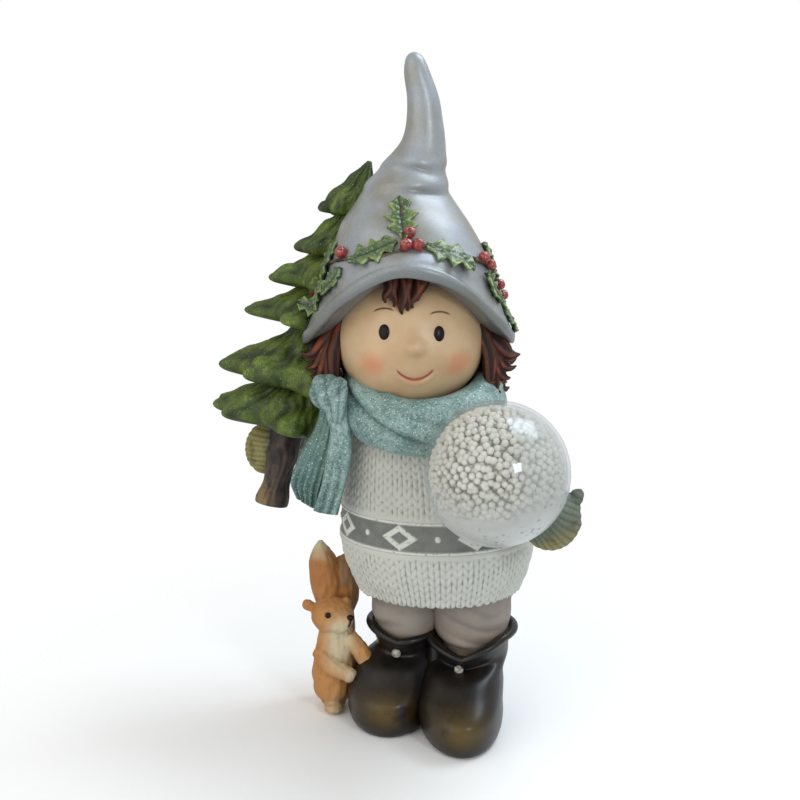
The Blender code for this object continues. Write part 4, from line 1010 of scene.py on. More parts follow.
def buildTrousers():
    paint = Paint("trouser_paint")
    depth = paint.layer("cavity")
    tone = paint.mix(paint.noise(13, 4).between(0.35, 0.7), legs["taupe"], legs["rose"])
    # painted shade darkens the creases
    tone = paint.mix(depth * 0.85, tone, legs["shade"])
    # patches of yellow-brown towards the bottom of the legs
    warmPatches = paint.noise(9, 3).between(0.4, 0.65)
    tone = paint.mix(paint.layer("low") * warmPatches * 0.6, tone, legs["warm"])
    paint.use(Base_Color=tone, Roughness=0.58 + 0.1 * paint.noise(3, 2))
    paint.bump(paint.noise(2.4, 4), 0.18, 0.6)
    around = 110
    meshes, depths, lows = [], [], []
    for seed, name in enumerate(("left", "right")):
        x, y, radius, forward = legs[name]
        rows = [(z, x, y - forward * ease(58, 48, z), radius * share, radius * share * 1.05, 0)
                for z, share in legs["taper"]]
        grid = ovalGrid(through(rows, 60), around)
        angle = np.radians(np.arange(around) * 360 / around)[None]
        # long soft creases hang in slanting bows below the hem
        slack = grid[..., 2] + 7 * np.cos(angle - 0.9 + 1.4 * seed) + 2.4 * lumps(grid, 14, 70 + seed)
        crease = np.sin(2 * math.pi * slack / 11) * (0.5 + 0.5 * np.cos(2 * angle + 2 * seed))
        sag = ease(70, 52, grid[..., 2])
        height = 0.5 * crease * (0.4 + 0.6 * sag) + 0.5 * lumps(grid, 12, 72)
        meshes.append(skin("leg", relief(grid, height)))
        # the creases' hollows are marked for painted shade
        depths.append((np.clip(-crease - 0.25, 0, 1) * (0.5 + 0.5 * sag)).ravel())
        lows.append(ease(60, 48, grid[..., 2]).ravel())
    between = ovalGrid(web([(42.5, 0.7), (56, 0.9), (70, 0.9), (80, 0.85)], 2), 60)
    meshes.append(skin("between", between))
    # the web between the legs is all painted shade
    depths.append(np.full(between.size // 3, 0.8))
    lows.append(np.zeros(between.size // 3))
    whole = joined("trousers", meshes)
    piece("trousers", layers(whole, cavity=np.concatenate(depths), low=np.concatenate(lows)), paint.material)


def bootPaint():
    b = boots
    paint = Paint("boot_gloss", Coat_Weight=0.14, Coat_Roughness=0.2, Specular_IOR_Level=0.35)
    tone = paint.mix(paint.noise(16, 3).between(0.4, 0.7), b["black"], b["umber"])
    burnish = paint.layer("burnish") * paint.noise(12, 3).between(0.28, 0.52)
    tone = paint.mix(burnish * 0.85, tone, b["brown"])
    # painted sheen: a grey-blue reflection on the side towards the window light and along the foot
    tone = paint.mix(paint.layer("haze") * 0.6, tone, b["haze"])
    paint.use(Base_Color=tone, Roughness=0.34 + 0.14 * paint.noise(6, 3))
    paint.bump(paint.noise(9, 3), 0.2, 0.5)
    return paint.material


def cuffGrid(b, back, shaft, dip):
    # the rolled cuff, which follows the shaft's rim down into its notch
    bearing = np.arange(b["around"]) * 360 / b["around"]
    sideways, forward = polar(bearing)
    flare = shaft + b["flare"]
    rim = np.stack([
        back[0] + flare * sideways, back[1] + (flare + shaft * 0.1) * forward, b["height"] + 2.5 - dip,
    ], axis=-1)
    along = np.roll(rim, -1, axis=0) - np.roll(rim, 1, axis=0)
    along /= np.linalg.norm(along, axis=1, keepdims=True)
    out = np.stack([sideways, forward, np.zeros(b["around"])], axis=-1)
    up = np.cross(along, out)
    turn = circle(16)[None, :, None]
    wave = np.radians(bearing * 5 + 40)
    swell = (b["roll"] * (1 + 0.08 * np.sin(wave)) - 0.05 * dip)[:, None, None]
    return rim[:, None] + swell * (np.cos(turn) * out[:, None] + np.sin(turn) * up[:, None])


def buildBoots():
    b = boots
    finish = bootPaint()
    metal = Paint("button_grey", Coat_Weight=0.3, Coat_Roughness=0.2)
    worn = metal.noise(2, 3).between(0.45, 0.62)
    metal.use(Base_Color=metal.mix(worn, b["button"], (92, 86, 76)), Roughness=0.35 + 0.2 * worn)
    tall, toeTall = b["height"], b["toeHeight"]
    for name in ("left", "right"):
        middle, shaftX, half, length, toe, shaft, notch, notchAt, buttonAt = b[name]
        sole, back = (middle, toe + length / 2), (shaftX, toe + length - shaft * 1.2 - 2)
        long = length / 2
        flare = shaft + b["flare"] - 1
        rows = [
            (0, *sole, half * 0.55, long * 0.62, 0), (0.15, *sole, half * 0.78, long * 0.84, 0),
            (1.6, *sole, half * 0.9, long * 0.93, 0), (5.5, *sole, half * 0.985, long * 0.975, 0),
            (12, *sole, half * 1.02, long * 0.985, 0), (toeTall, *sole, half * 1.0, long * 0.95, 0),
            (toeTall * 1.4, sole[0] * 0.75 + back[0] * 0.25, sole[1] + long * 0.12,
             half * 0.955, long * 0.79, 0),
            (toeTall * 1.75, (sole[0] + back[0]) / 2, (sole[1] + back[1]) / 2, half * 0.89, long * 0.625, 0),
            (tall * 0.78, *back, shaft, shaft * 1.1, 0),
            (tall * 0.9, *back, shaft + 0.6, shaft * 1.1 + 0.6, 0),
            (tall + 1.5, *back, flare, flare + shaft * 0.1, 0),
            (tall + 2.5, *back, shaft - 2, shaft * 1.1 - 2, 0),
            (tall - 3, *back, shaft - 5, shaft * 1.1 - 5, 0),
        ]
        grid = ovalGrid(through(rows, 84, by=5), b["around"])
        angle = np.arange(b["around"]) * 360 / b["around"]
        reach = np.abs((angle - notchAt + 180) % 360 - 180) / 60
        inner = -1 if name == "left" else 1
        dip = notch * np.maximum(0, 1 - reach) ** 1.15 + b["innerDip"] * (1 + inner * polar(angle)[0])
        level = grid[..., 2]
        grid[..., 2] -= dip[None] * ease(tall * 0.62, tall, level)
        grid = relief(grid, 0.35 * lumps(grid, 22, 81) * ease(1, 6, level))
        grid[..., 2] = np.maximum(grid[..., 2], 0.0)
        x, y, z = grid[..., 0], grid[..., 1], grid[..., 2]
        toeCap = np.exp(-(((x - middle + 1) / (half * 0.6)) ** 2) - ((z - 15) / 8.5) ** 2)
        burnish = toeCap * ease(sole[1] - 2, sole[1] - 14, y)
        # painted sheen on the side towards the window light and low along the foot
        haze = ease(middle + half * 0.55, middle + half * 0.95, x) * 0.9 + 0.5 * ease(8, 2, z)
        made = skin("boot", grid)
        roll = cuffGrid(b, back, shaft, dip)
        whole = joined("boot_" + name, [made, skin("cuff", roll, loop=True)])
        plain = np.zeros(roll.size // 3)
        burnish, haze = np.concatenate([burnish.ravel(), plain]), np.concatenate([haze.ravel(), plain])
        piece("boot_" + name, layers(whole, burnish=burnish, haze=haze), finish)
        sideways, forward = polar(buttonAt)
        drop = notch + b["innerDip"] + b["roll"] + 1.6
        spot = np.array([
            back[0] + (shaft + 1.6) * sideways, back[1] + (shaft * 1.1 + 1.6) * forward, tall - drop,
        ])
        button = ballGrid(spot, (2.6, 1.7, 2.4), 18, 28, turn=(-8, 0, buttonAt))
        pit = np.hypot(button[..., 0] - spot[0], button[..., 2] - spot[2])
        piece("button_" + name, skin("button", relief(button, -0.35 * bell(pit, 0.8))), metal.material)
    between = ovalGrid(web([(0, 0.9), (tall * 0.5, 1.0), (tall * 0.93, 0.85)], -6), 60)
    piece("boot_between", skin("boot_between", between), finish)


buildTrousers()
buildBoots()
print("boots polished")

# Holly on the hat

holly = {
    "length": 23.0, "width": 17.0, "berry": 3.2,
    "green": (80, 106, 52), "moss": (58, 86, 44), "lime": (152, 166, 88), "deep": (28, 40, 20),
    "frost": (206, 216, 208), "red": (152, 54, 46), "darkRed": (96, 28, 26),
    # bearing, height on the hat, turn of the leaf, size, and how far its tip is lifted off the hat in degrees
    "leaves": [
        (-3, 67, 98, 1.12, 0), (-26, 51, 25, 1.15, 0), (30, 49, -25, 1.2, 0), (-76, 44, 80, 0.95, 0),
        (-56, 35, 35, 0.8, 0), (-80, 20, 185, 0.8, 60), (-70, 26, 50, 0.85, 8), (88, 43, -75, 0.95, 0),
        (66, 31, -40, 0.85, 0), (84, 15, -60, 0.95, 0), (128, 20, 15, 1.0, 0), (180, 25, 0, 1.0, 0),
        (-128, 20, -15, 1.0, 0), (155, 30, -30, 0.8, 0), (-155, 30, 30, 0.8, 0),
    ],
    # bearing, height, size
    "berries": [
        (3, 60, 1.0), (-1, 54, 1.05), (7.5, 54, 1.0), (-54, 49, 1.0), (62, 46, 1.0), (70, 42, 0.9),
        (-84, 32, 0.95), (-89, 27, 0.95), (84, 31, 0.9), (88, 25, 0.85), (150, 23, 1.0), (144, 27, 0.85),
        (-150, 23, 1.0), (-144, 28, 0.85),
    ],
    # routes of the thin twigs: bearing, height
    "twigs": [
        [(-92, 22), (-84, 33), (-76, 42), (-63, 45), (-45, 47), (-24, 48), (-4, 52)],
        [(-1, 56), (14, 53), (30, 49), (48, 47), (66, 43), (80, 36), (88, 26)],
        [(-2, 56), (-3, 64), (-3, 72)],
        [(92, 24), (112, 20), (132, 21), (155, 24), (180, 24), (205, 24), (232, 20), (255, 20), (268, 24)],
    ],
}


def leafGrid(bearing, height, turn, size, stand, seed):
    here, across, rise, out = hatAt(bearing, height)
    spin, tip = math.radians(turn), math.radians(stand)
    along = across * math.cos(spin) + rise * math.sin(spin)
    side = np.cross(out, along)
    along, out = along * math.cos(tip) + out * math.sin(tip), out * math.cos(tip) - along * math.sin(tip)
    t = np.linspace(0.0, 1.0, 43)[:, None]
    ring = circle(32)[None]
    s, deep = -np.cos(ring), np.sin(ring)
    spine = np.abs(2 * ((t * 3.4 + 0.1) % 1.0) - 1) ** 1.3
    taper = np.sin(math.pi * np.clip(t, 0.012, 0.988)) ** 0.55
    wide = holly["width"] / 2 * size * taper * (0.46 + 0.54 * spine)
    long = (t - 0.5) * holly["length"] * size
    bow = 1.3 * np.sin(2 * math.pi * t + seed)
    v = s * wide + 0.12 * bow
    vein = np.abs(np.sin(math.pi * (t * 8 - np.abs(s) * 1.4)))
    curl = np.sin(8 * math.pi * t + seed) * np.abs(s) ** 2
    lift = 1.6 * np.abs(s) ** 1.6 * (0.6 + 0.4 * spine) + 0.5 * bow + 0.6 * curl
    top = deep > 0
    groove = bell(s * wide, 0.55) * top
    thick = 1.1 * np.abs(deep) ** 0.6 * np.sign(deep)
    up = lift + thick + 0.9 - 0.7 * groove + 0.42 * vein * top * (np.abs(s) < 0.9)
    centre = here + along * long[..., None] + side * v[..., None]
    # the leaf bends with the round of the hat
    reach = (centre - here) @ across
    drop = reach**2 / 92
    grid = centre + out * (up - drop)[..., None]
    # the midrib, the veins and the undersides are marked for painted shade
    cavity = np.clip(groove + 0.45 * (1 - vein) * top + 1.0 * (deep < -0.2), 0, 1)
    return grid, cavity, np.abs(s) * top * np.ones_like(t)


def buildHolly():
    h = holly
    paint = Paint("holly_paint", Coat_Weight=0.45, Coat_Roughness=0.15)
    depth = paint.layer("cavity")
    edge = paint.layer("edge")
    tone = paint.mix(paint.noise(5, 3).between(0.35, 0.65), h["green"], h["moss"])
    tone = paint.mix(edge.between(0.35, 0.95) * paint.noise(4, 3).between(0.4, 0.62) * 0.85, tone, h["lime"])
    # painted shade in the midrib, the veins and under the leaves
    tone = paint.mix(depth * 0.85, tone, h["deep"])
    frost = paint.noise(1.6, 4).between(0.56, 0.66) * (1 - depth)
    tone = paint.mix(frost * 0.28, tone, h["frost"])
    spark = paint.flecks(0.55, 0.04)
    tone = paint.mix(spark * 0.9, tone, (228, 236, 236))
    paint.use(Base_Color=tone, Roughness=0.36 + 0.2 * frost)
    paint.bump(paint.noise(1.8, 3), 0.2, 0.7)
    meshes, depths, edges = [], [], []
    for seed, (bearing, height, turn, size, stand) in enumerate(h["leaves"]):
        grid, cavity, rim = leafGrid(bearing, height, turn, size, stand, seed * 1.7)
        meshes.append(skin("leaf", grid))
        depths.append(cavity.ravel())
        edges.append(rim.ravel())
    whole = joined("holly_leaves", meshes)
    depths, edges = np.concatenate(depths), np.concatenate(edges)
    piece("holly_leaves", layers(whole, cavity=depths, edge=edges), paint.material)

    red = Paint("berry_paint", Coat_Weight=0.6, Coat_Roughness=0.08)
    tone = red.mix(red.noise(3, 3).between(0.4, 0.7), h["red"], h["darkRed"])
    dust = red.noise(1.2, 4).between(0.55, 0.66)
    tone = red.mix(dust * red.layer("crown") * 0.8, tone, h["frost"])
    red.use(Base_Color=tone, Roughness=0.24 + 0.4 * dust)
    red.bump(red.noise(1.6, 3), 0.14, 0.6)
    meshes, crowns = [], []
    for bearing, height, size in h["berries"]:
        here, _, _, out = hatAt(bearing, height)
        spot = here + out * (h["berry"] * 0.75)
        ball = ballGrid(spot, (h["berry"] * size,) * 3, 18, 24)
        pit = bell(np.linalg.norm(ball - spot - out * h["berry"] * size, axis=-1), 0.7)
        meshes.append(skin("berry", relief(ball, -0.5 * pit + 0.08 * lumps(ball, 2.5, 91))))
        crowns.append(ease(-0.2, 0.9, (ball - spot)[..., 2] / h["berry"]).ravel())
    piece("berries", layers(joined("berries", meshes), crown=np.concatenate(crowns)), red.material)

    meshes = []
    for seed, route in enumerate(h["twigs"]):
        path = []
        for bearing, height in route:
            here, _, _, out = hatAt(bearing, height)
            path.append((*(here + out * 0.7), 1.0))
        grid = tubeGrid(path, 10 * len(path), 12)
        meshes.append(skin("twig", relief(grid, 0.35 * lumps(grid, 3, 95 + seed))))
    wood = Paint("twig_paint")
    tone = wood.mix(wood.noise(3, 3).between(0.4, 0.65), (48, 38, 30), (104, 88, 66))
    wood.use(Base_Color=tone, Roughness=0.5 + 0.2 * wood.noise(2, 2))
    wood.bump(wood.noise(1.2, 3), 0.3, 0.8)
    piece("twigs", joined("twigs", meshes), wood.material)


buildHolly()
print("holly laid")

# Tree

tree = {
    "height": 147.0, "lean": 17.6, "reach": 49.0, "lobes": 7, "trunk": 8.2, "trunkShowing": 44.0,
    # low, high, reach
    "tiers": [(-0.02, 0.235, 0.905), (0.135, 0.395, 0.94), (0.362, 0.56, 0.85), (0.50, 0.69, 0.75),
              (0.628, 0.84, 0.54), (0.79, 1.0, 0.40)],
    "green": (84, 102, 34), "olive": (60, 76, 26), "lime": (132, 152, 56), "deep": (24, 34, 13),
    "under": (44, 50, 34), "snow": (206, 212, 196),
    "bark": (66, 54, 50), "barkDark": (36, 30, 31), "ochre": (124, 104, 70),
}


def treePlace(points):
    # from the tree's own axes, foot of the trunk at its origin, to where it leans in the frame
    turn = Matrix.Rotation(math.radians(tree["lean"]), 3, "Y") @ Matrix.Rotation(math.radians(-4), 3, "X")
    turn = np.array(turn)
    foot = stance["hold"] - turn @ np.array([0, 0, tree["trunkShowing"] * 0.62])
    return points @ turn.T + foot


def firPaint():
    t = tree
    needles = Paint("fir_paint", Coat_Weight=0.08, Coat_Roughness=0.3)
    depth, tip, under = needles.layer("cavity"), needles.layer("tip"), needles.layer("under")
    tone = needles.mix(needles.noise(15, 4).between(0.35, 0.68), t["green"], t["olive"])
    brushed = needles.noise(2.4, 4, where=needles.stretched(1, 1, 0.6)).between(0.44, 0.64)
    raised = (1 - depth).between(0.55, 0.95)
    tone = needles.mix(raised * brushed * (0.15 + 0.6 * tip), tone, t["lime"])
    # painted shade in the hollows and towards the trunk
    tone = needles.mix(depth.between(0.35, 0.9) * 0.8, tone, t["deep"])
    fine = needles.noise(0.8, 3, where=needles.stretched(1, 1, 0.5)).between(0.5, 0.68)
    tone = needles.mix(fine * 0.45, tone, t["deep"])
    # painted shade on the undersides of the skirts
    tone = needles.mix(under * 0.85, tone, t["under"])
    tone = needles.mix(needles.flecks(0.45, 0.03) * (1 - under) * 0.7, tone, t["snow"])
    needles.use(Base_Color=tone, Roughness=0.52 + 0.16 * needles.noise(4, 3))
    needles.bump(needles.noise(1.4, 4, where=needles.stretched(1, 1, 0.5)), 0.35, 0.8)
    return needles.material


def firTier(i, low, high, reach):
    # one skirt of the fir: its lobes droop to blunt tips, and its rim turns under
    t = tree
    around, down = 196, 48
    start = 0.10 if i == 5 else 0.24
    rows = through([(start * 0.5, 1.01, 0.0), (start, 0.985, 0.0), (0.40, 0.68, 0.2), (0.72, 0.38, 0.5),
                    (0.92, 0.22, 0.9), (0.99, 0.135, 1.0), (0.985, 0.075, 1.0), (0.9, 0.03, 0.9),
                    (0.7, 0.01, 0.6), (0.40, 0.0, 0.2)], down, by=2)
    share, level, spread = (column[:, None] for column in rows.T)
    turn = circle(around)[None]
    phase = t["lobes"] * (turn - math.radians(90 + 13 * i)) + 0.12 * np.sin(2 * turn + i)
    tipness = (0.5 + 0.5 * np.cos(phase)) ** 1.1
    out = t["reach"] * reach * share * (1 - 0.35 * spread * (1 - tipness))
    sideX, sideY = -np.cos(turn), -np.sin(turn)
    squeeze = 1 - 0.45 * np.maximum(0, sideX) ** 2
    z = (low + (high - low) * level) * t["height"] + t["trunkShowing"]
    z = z + spread * (1.2 - 4.2 * tipness * (1 - 0.7 * np.maximum(0, np.sin(turn)) ** 2))
    deep = 0.8 - (0.16 if i < 2 else 0.06) * np.maximum(0, -sideY) ** 2
    grid = treePlace(np.stack([sideX * out * squeeze, sideY * out * deep, z * np.ones_like(turn)], axis=-1))
    # soft valleys part the lobes, and brushed needles run down them
    valley = np.cos(2 * phase + 1.1 * lumps(grid, 18, 100 + i))
    fine = np.cos(34 * turn + 8 * share + 1.9 * lumps(grid, 7, 110 + i))
    swell = lumps(grid, 7, 120 + i)
    top = np.arange(down)[:, None] < down * 0.6
    upper = ease(0.02, 0.12, level) * top * ease(0.1, 0.4, share)
    height = upper * (0.5 * valley + 0.35 * fine + 0.75 * swell)
    # the valleys, and the parts near the trunk, are marked for painted shade
    cavity = 0.42 - 0.16 * valley - 0.16 * fine - 0.26 * swell + 0.35 * ease(0.5, 0.25, share)
    # the skirt's underside is marked for painted shade
    below = ease(0.80, 0.90, np.arange(down)[:, None] / down) * np.ones_like(turn)
    made = skin(f"fir_{i}", relief(grid, height))
    tip = spread * (0.35 + 0.65 * tipness)
    return layers(made, cavity=np.clip(cavity, 0, 1).ravel(), tip=tip.ravel(), under=below.ravel())


def trunkMesh():
    # a held stem, drawn in at its waist and flared at its sawn foot
    r = tree["trunk"]
    rows = [(3.4, 0, -1.2, r * 0.2), (3.4, 0, -0.6, r * 1.0), (3.2, 0, 0.8, r * 1.12), (3.0, 0, 4, r * 1.08),
            (2.4, 0, 12, r * 0.84), (1.8, 0, 20, r * 0.88), (1.2, 0, 28, r * 1.02), (0, 0, 44, r * 0.95),
            (0, 0, 110, r * 0.6)]
    count, around = 120, 84
    grid = tubeGrid([(*treePlace(np.array(row[:3], float)), row[3]) for row in rows], count, around)
    turn = circle(around)[None]
    ridge = np.cos(5 * turn + 1.8 * lumps(grid, 20, 130))
    ridge = ridge + 0.6 * np.cos(13 * turn + 2.0 * lumps(grid, 12, 131))
    end = ease(0, 9, np.arange(count))[:, None]
    made = skin("trunk", relief(grid, (0.4 * ridge + 0.4 * lumps(grid, 5, 132)) * end))
    # the cracks are marked for painted shade
    crack = np.clip(-ridge, 0, 1.5) / 1.5
    ochre = ease(-82, -92, grid[..., 0]) * ease(146, 122, grid[..., 2])
    return layers(made, cavity=crack.ravel(), low=ochre.ravel())


def buildTree():
    t = tree
    finish = firPaint()
    for i, (low, high, reach) in enumerate(t["tiers"]):
        piece(f"fir_{i}", firTier(i, low, high, reach), finish)
    bark = Paint("bark_paint")
    depth = bark.layer("cavity")
    tone = bark.mix(bark.noise(6, 4).between(0.4, 0.65), t["bark"], t["barkDark"])
    tone = bark.mix(bark.layer("low") * bark.noise(5, 4).between(0.35, 0.55), tone, t["ochre"])
    # painted shade in the cracks of the bark
    tone = bark.mix(depth * 0.7, tone, t["barkDark"])
    bark.use(Base_Color=tone, Roughness=0.5 + 0.2 * bark.noise(3, 2))
    bark.bump(bark.noise(2.4, 4), 0.35, 0.8)
    piece("trunk", trunkMesh(), bark.material)


buildTree()
print("tree grown")

# Squirrel

squirrel = {
    "girth": 12.5, "height": 65.0, "headRadius": 11.5, "plume": 8.5, "plumeLength": 92.0,
    "orange": (180, 128, 74), "amber": (168, 114, 62), "rust": (152, 94, 50), "cream": (192, 182, 150),
    "brown": (128, 104, 78), "dark": (84, 54, 34),
}


def squirrelFace():
    seat = stance["squirrel"]
    return np.array([seat[0] - 1.5, seat[1] - 5, squirrel["height"] * 0.86])


def squirrelMesh():
    s = squirrel
    seat = stance["squirrel"]
    g, h, p, top = s["girth"], s["height"], s["plume"], s["plumeLength"]
    face, skull = squirrelFace(), s["headRadius"]

    def at(*spots):
        return [(seat[0] + x, seat[1] + y, z, r) for x, y, z, r in spots]

    body = at((-1, 0, 1.5, g * 0.5), (-1, 0, 7, g * 0.68), (-0.6, 0, h * 0.28, g),
              (0.5, -1, h * 0.5, g * 0.93), (0.5, -3, h * 0.76, g * 0.7))
    brush = at((2, 7, 6, p * 0.7), (1, 12, 18, p), (1, 15, 45, p * 1.1), (-4.5, 13, top * 0.76, p * 1.18),
               (-7, 10, top * 0.9, p * 0.85), (-8, 8.5, top * 0.99, p * 0.42), (-8, 8, top * 1.03, p * 0.12))
    shapes = [
        skin("body", tubeGrid(body, 40, 40, across=(1, 0, 0))),
        skin("head", ballGrid(face, (skull, skull * 0.92, skull * 0.86), 30, 40)),
        skin("muzzle", ballGrid(face + (6.6, -5.0, -0.6), (5.6, 5.5, 4.8), 20, 28)),
        skin("cheek", ballGrid(face + (4, -6, -3), (7, 5, 5), 20, 28)),
        skin("haunch", ballGrid((seat[0] - 2, seat[1] - 5, h * 0.23), (10.2, 9, 10.6), 24, 32)),
        skin("foot", ballGrid((seat[0] - 0.5, seat[1] - 8, 3.9), (5.4, 8.2, 3.6), 20, 28, turn=(0, 0, -8))),
        skin("tail", tubeGrid(brush, 60, 36, across=(1, 0, 0))),
        skin("plume", ballGrid((seat[0] + 5.0, seat[1] + 13, top * 0.72),
                               (p * 0.95, p * 0.9, p * 2.15), 30, 32)),
    ]
    for x, z, size, turn in ((-13.2, 4.8, 3.5, -50), (7.6, 6.2, 3.4, 30)):
        shapes.append(skin("ear", ballGrid(face + (x, 2.5, z), (size, 2.5, size), 18, 24, turn=(0, turn, 0))))
    # the near arm reaches across the belly, the far one hangs
    arms = (((-9.5, -7, h * 0.56), (-1.5, -13.5, h * 0.455), (10, -17.5, h * 0.39), (1.6, -0.6, -0.6)),
            ((8, -7, h * 0.69), (15, -11, h * 0.555), (18.4, -13, h * 0.45), (0.5, -0.5, -1.8)))
    for start, elbow, end, on in arms:
        path = at((*start, 4.3), (*elbow, 4.8), (*end, 3.8), (*(a + b for a, b in zip(end, on)), 2.0))
        shapes.append(skin("arm", tubeGrid(path, 24, 26)))
    return fused("squirrel", shapes, 0.75, 6)


def squirrelPaint():
    s = squirrel
    paint = Paint("squirrel_paint")
    tone = paint.mix(paint.noise(10, 4).between(0.35, 0.7), s["orange"], s["amber"])
    tone = paint.mix(paint.layer("rust") * 0.7, tone, s["rust"])
    # the tail's right lobe is brown-grey, and painted shade darkens the fur low at the front
    tone = paint.mix(paint.layer("dusk"), tone, s["brown"])
    tone = paint.mix(paint.layer("cream") * 0.95, tone, s["cream"])
    hairs = paint.noise(0.9, 3, where=paint.stretched(1, 1, 0.35))
    tone = paint.mix(hairs.between(0.55, 0.78) * 0.22, tone, s["dark"])
    paint.use(Base_Color=tone, Roughness=0.62 + 0.15 * hairs)
    paint.bump(hairs, 0.25, 0.7)
    return paint.material


def buildSquirrel():
    made = squirrelMesh()
    face = squirrelFace()
    spots = pointsOf(made)
    local = spots - stance["squirrel"]
    x, y, z = local.T
    isTail = np.clip(ease(5, 9, y) * ease(20, 30, z) + ease(66, 72, z) * ease(-2, 4, y), 0, 1)
    strands = lumps(spots, 1.6, 140, stretch=(1, 1, 3.2))
    pushed(made, 0.22 * strands + 0.3 * isTail * np.abs(lumps(spots, 4, 141, stretch=(1, 1, 4))))

    def near(spot, size):
        return bell(np.linalg.norm(local - spot, axis=1), size)

    nose = face - stance["squirrel"]
    belly = 1.3 * np.exp(-(((x - 3.2) / 6.8) ** 2) - ((z - 40) / 10.5) ** 2) * ease(-2, -7, y)
    paws = 1.2 * near((11, -18, 25), 5.0) + 1.1 * near((19, -14, 28), 4.5) + 0.8 * near((1, -13, 3), 6.5)
    tipTail = ease(83, 94, z + 2 * lumps(spots, 5, 142))
    cream = np.clip(belly + 1.2 * near(nose + (5.5, -8, -4.5), 6.0) + paws + tipTail, 0, 1)
    # brown-grey on the tail's right lobe, and painted shade low at the front where the feet meet the ground
    dusk = np.clip(ease(0, 5, x) * isTail * 0.8 + 0.35 * ease(10, 2, z) * ease(-8, -2, y), 0, 1)
    rust = np.clip(isTail * (1 - dusk) * 0.6 + 0.35 * ease(-6, -11, x), 0, 1)
    piece("squirrel", layers(made, cream=cream, dusk=dusk, rust=rust), squirrelPaint())
    gloss = Paint("squirrel_eye_paint", Roughness=0.3, Specular_IOR_Level=0.25)
    gloss.use(Base_Color=gloss.mix(gloss.noise(1, 2), (20, 14, 12), (36, 24, 18)))
    smile = [(10.8, -9.6, 0.6, 0.5), (10.4, -10.0, -1.6, 0.5), (9.4, -10.2, -3.2, 0.4)]
    marks = [
        skin("nose", ballGrid(face + (10.6, -8.8, 1.8), (2.1, 1.9, 1.6), 16, 22)),
        skin("eye", ballGrid(face + (-1.6, -10.1, 3.6), (1.6, 1.1, 1.7), 16, 22)),
        skin("mouth", tubeGrid(placed(face, smile), 12, 10)),
    ]
    piece("squirrel_eyes", joined("squirrel_eyes", marks), gloss.material)


buildSquirrel()
print("squirrel modelled")

# Globe

globe = {
    "radius": 35.6, "wall": 1.5, "neckRadius": 9.0, "neckLength": 4.0, "toward": (0.45, 0.62, -0.64),
    "bead": 1.85, "gap": 0.2, "foam": (214, 212, 200), "foamShade": (198, 197, 186), "milk": (210, 214, 212),
    # the last tone is painted shade for the gaps between the beads
    "core": 28.4, "gapShade": (110, 112, 104),
}


def clearPlastic():
    # clear plastic that mirrors more at its rim, with a milky film that thickens low down and, as a painted
    # reflection of the window, to the right; dark spots on the film are painted shade for the gaps between
    # the beads
    clear = Paint("clear_plastic", Roughness=0.7)
    tree = clear.tree
    px, _, pz = (clear.axis(i, stance["globe"]) for i in range(3))
    milk = clear.mix(clear.noise(20, 3), globe["milk"], (218, 221, 218))
    # dark spots: painted shade for the gaps between the beads behind the film
    gapShadeSpots = clear.flecks(2.8, 0.3) * clear.noise(11, 2).between(0.38, 0.52)
    clear.use(Base_Color=clear.mix(gapShadeSpots * 0.6, milk, globe["gapShade"]))
    low = 1 - (pz + 6 * clear.noise(9, 3)).between(-24, 6)
    # the film on the right side is a painted reflection of the window
    aside = (px + 4 * clear.noise(12, 3)).between(2, 18)
    rim = clear.node("ShaderNodeLayerWeight", {}, {"Blend": 0.5}, output="Facing")
    film = low * 0.5 + aside * 0.2 + 0.06 * clear.noise(14, 3) + 0.12 * rim ** 3
    glassy = tree.nodes.new("ShaderNodeBsdfGlossy")
    glassy.inputs["Roughness"].default_value = 0.06
    glassy.inputs["Color"].default_value = (0.9, 0.95, 1, 1)
    passing = tree.nodes.new("ShaderNodeBsdfTransparent")
    passing.inputs["Color"].default_value = (0.99, 0.992, 0.995, 1)
    veiled, both = (tree.nodes.new("ShaderNodeMixShader") for _ in range(2))
    links = tree.links
    links.new(film.socket, veiled.inputs[0])
    links.new(passing.outputs[0], veiled.inputs[1])
    links.new(clear.shader.outputs[0], veiled.inputs[2])
    links.new((0.03 + 0.4 * rim ** 4).socket, both.inputs[0])
    links.new(veiled.outputs[0], both.inputs[1])
    links.new(glassy.outputs[0], both.inputs[2])
    links.new(both.outputs[0], tree.nodes["Material Output"].inputs["Surface"])
    return clear.material


def shellGrid():
    # the ball's wall outside and inside, and the short open neck, turned about its own axis
    g = globe
    outer, inner = g["radius"], g["radius"] - g["wall"]
    neck, bore = g["neckRadius"], g["neckRadius"] - g["wall"]
    foot = math.sqrt(outer**2 - neck**2) + g["neckLength"]
    start, end = math.asin(neck / outer), math.asin(bore / inner)
    outside = [(outer * math.sin(a), outer * math.cos(a)) for a in np.linspace(math.pi - 0.01, start, 54)]
    inside = [(inner * math.sin(a), inner * math.cos(a)) for a in np.linspace(end, math.pi - 0.01, 40)]
    edge = [(neck, foot - 0.3), (neck - 0.3, foot), (bore + 0.3, foot), (bore, foot - 0.3)]
    r, z = (column[:, None] for column in np.array(outside + edge + inside).T)
    sweep = circle(96)[None]
    grid = np.stack([r * np.cos(sweep), r * np.sin(sweep), z * np.ones_like(sweep)], axis=-1)
    turn = np.array(Vector(g["toward"]).normalized().to_track_quat("Z", "Y").to_matrix())
    return grid @ turn.T + stance["globe"]


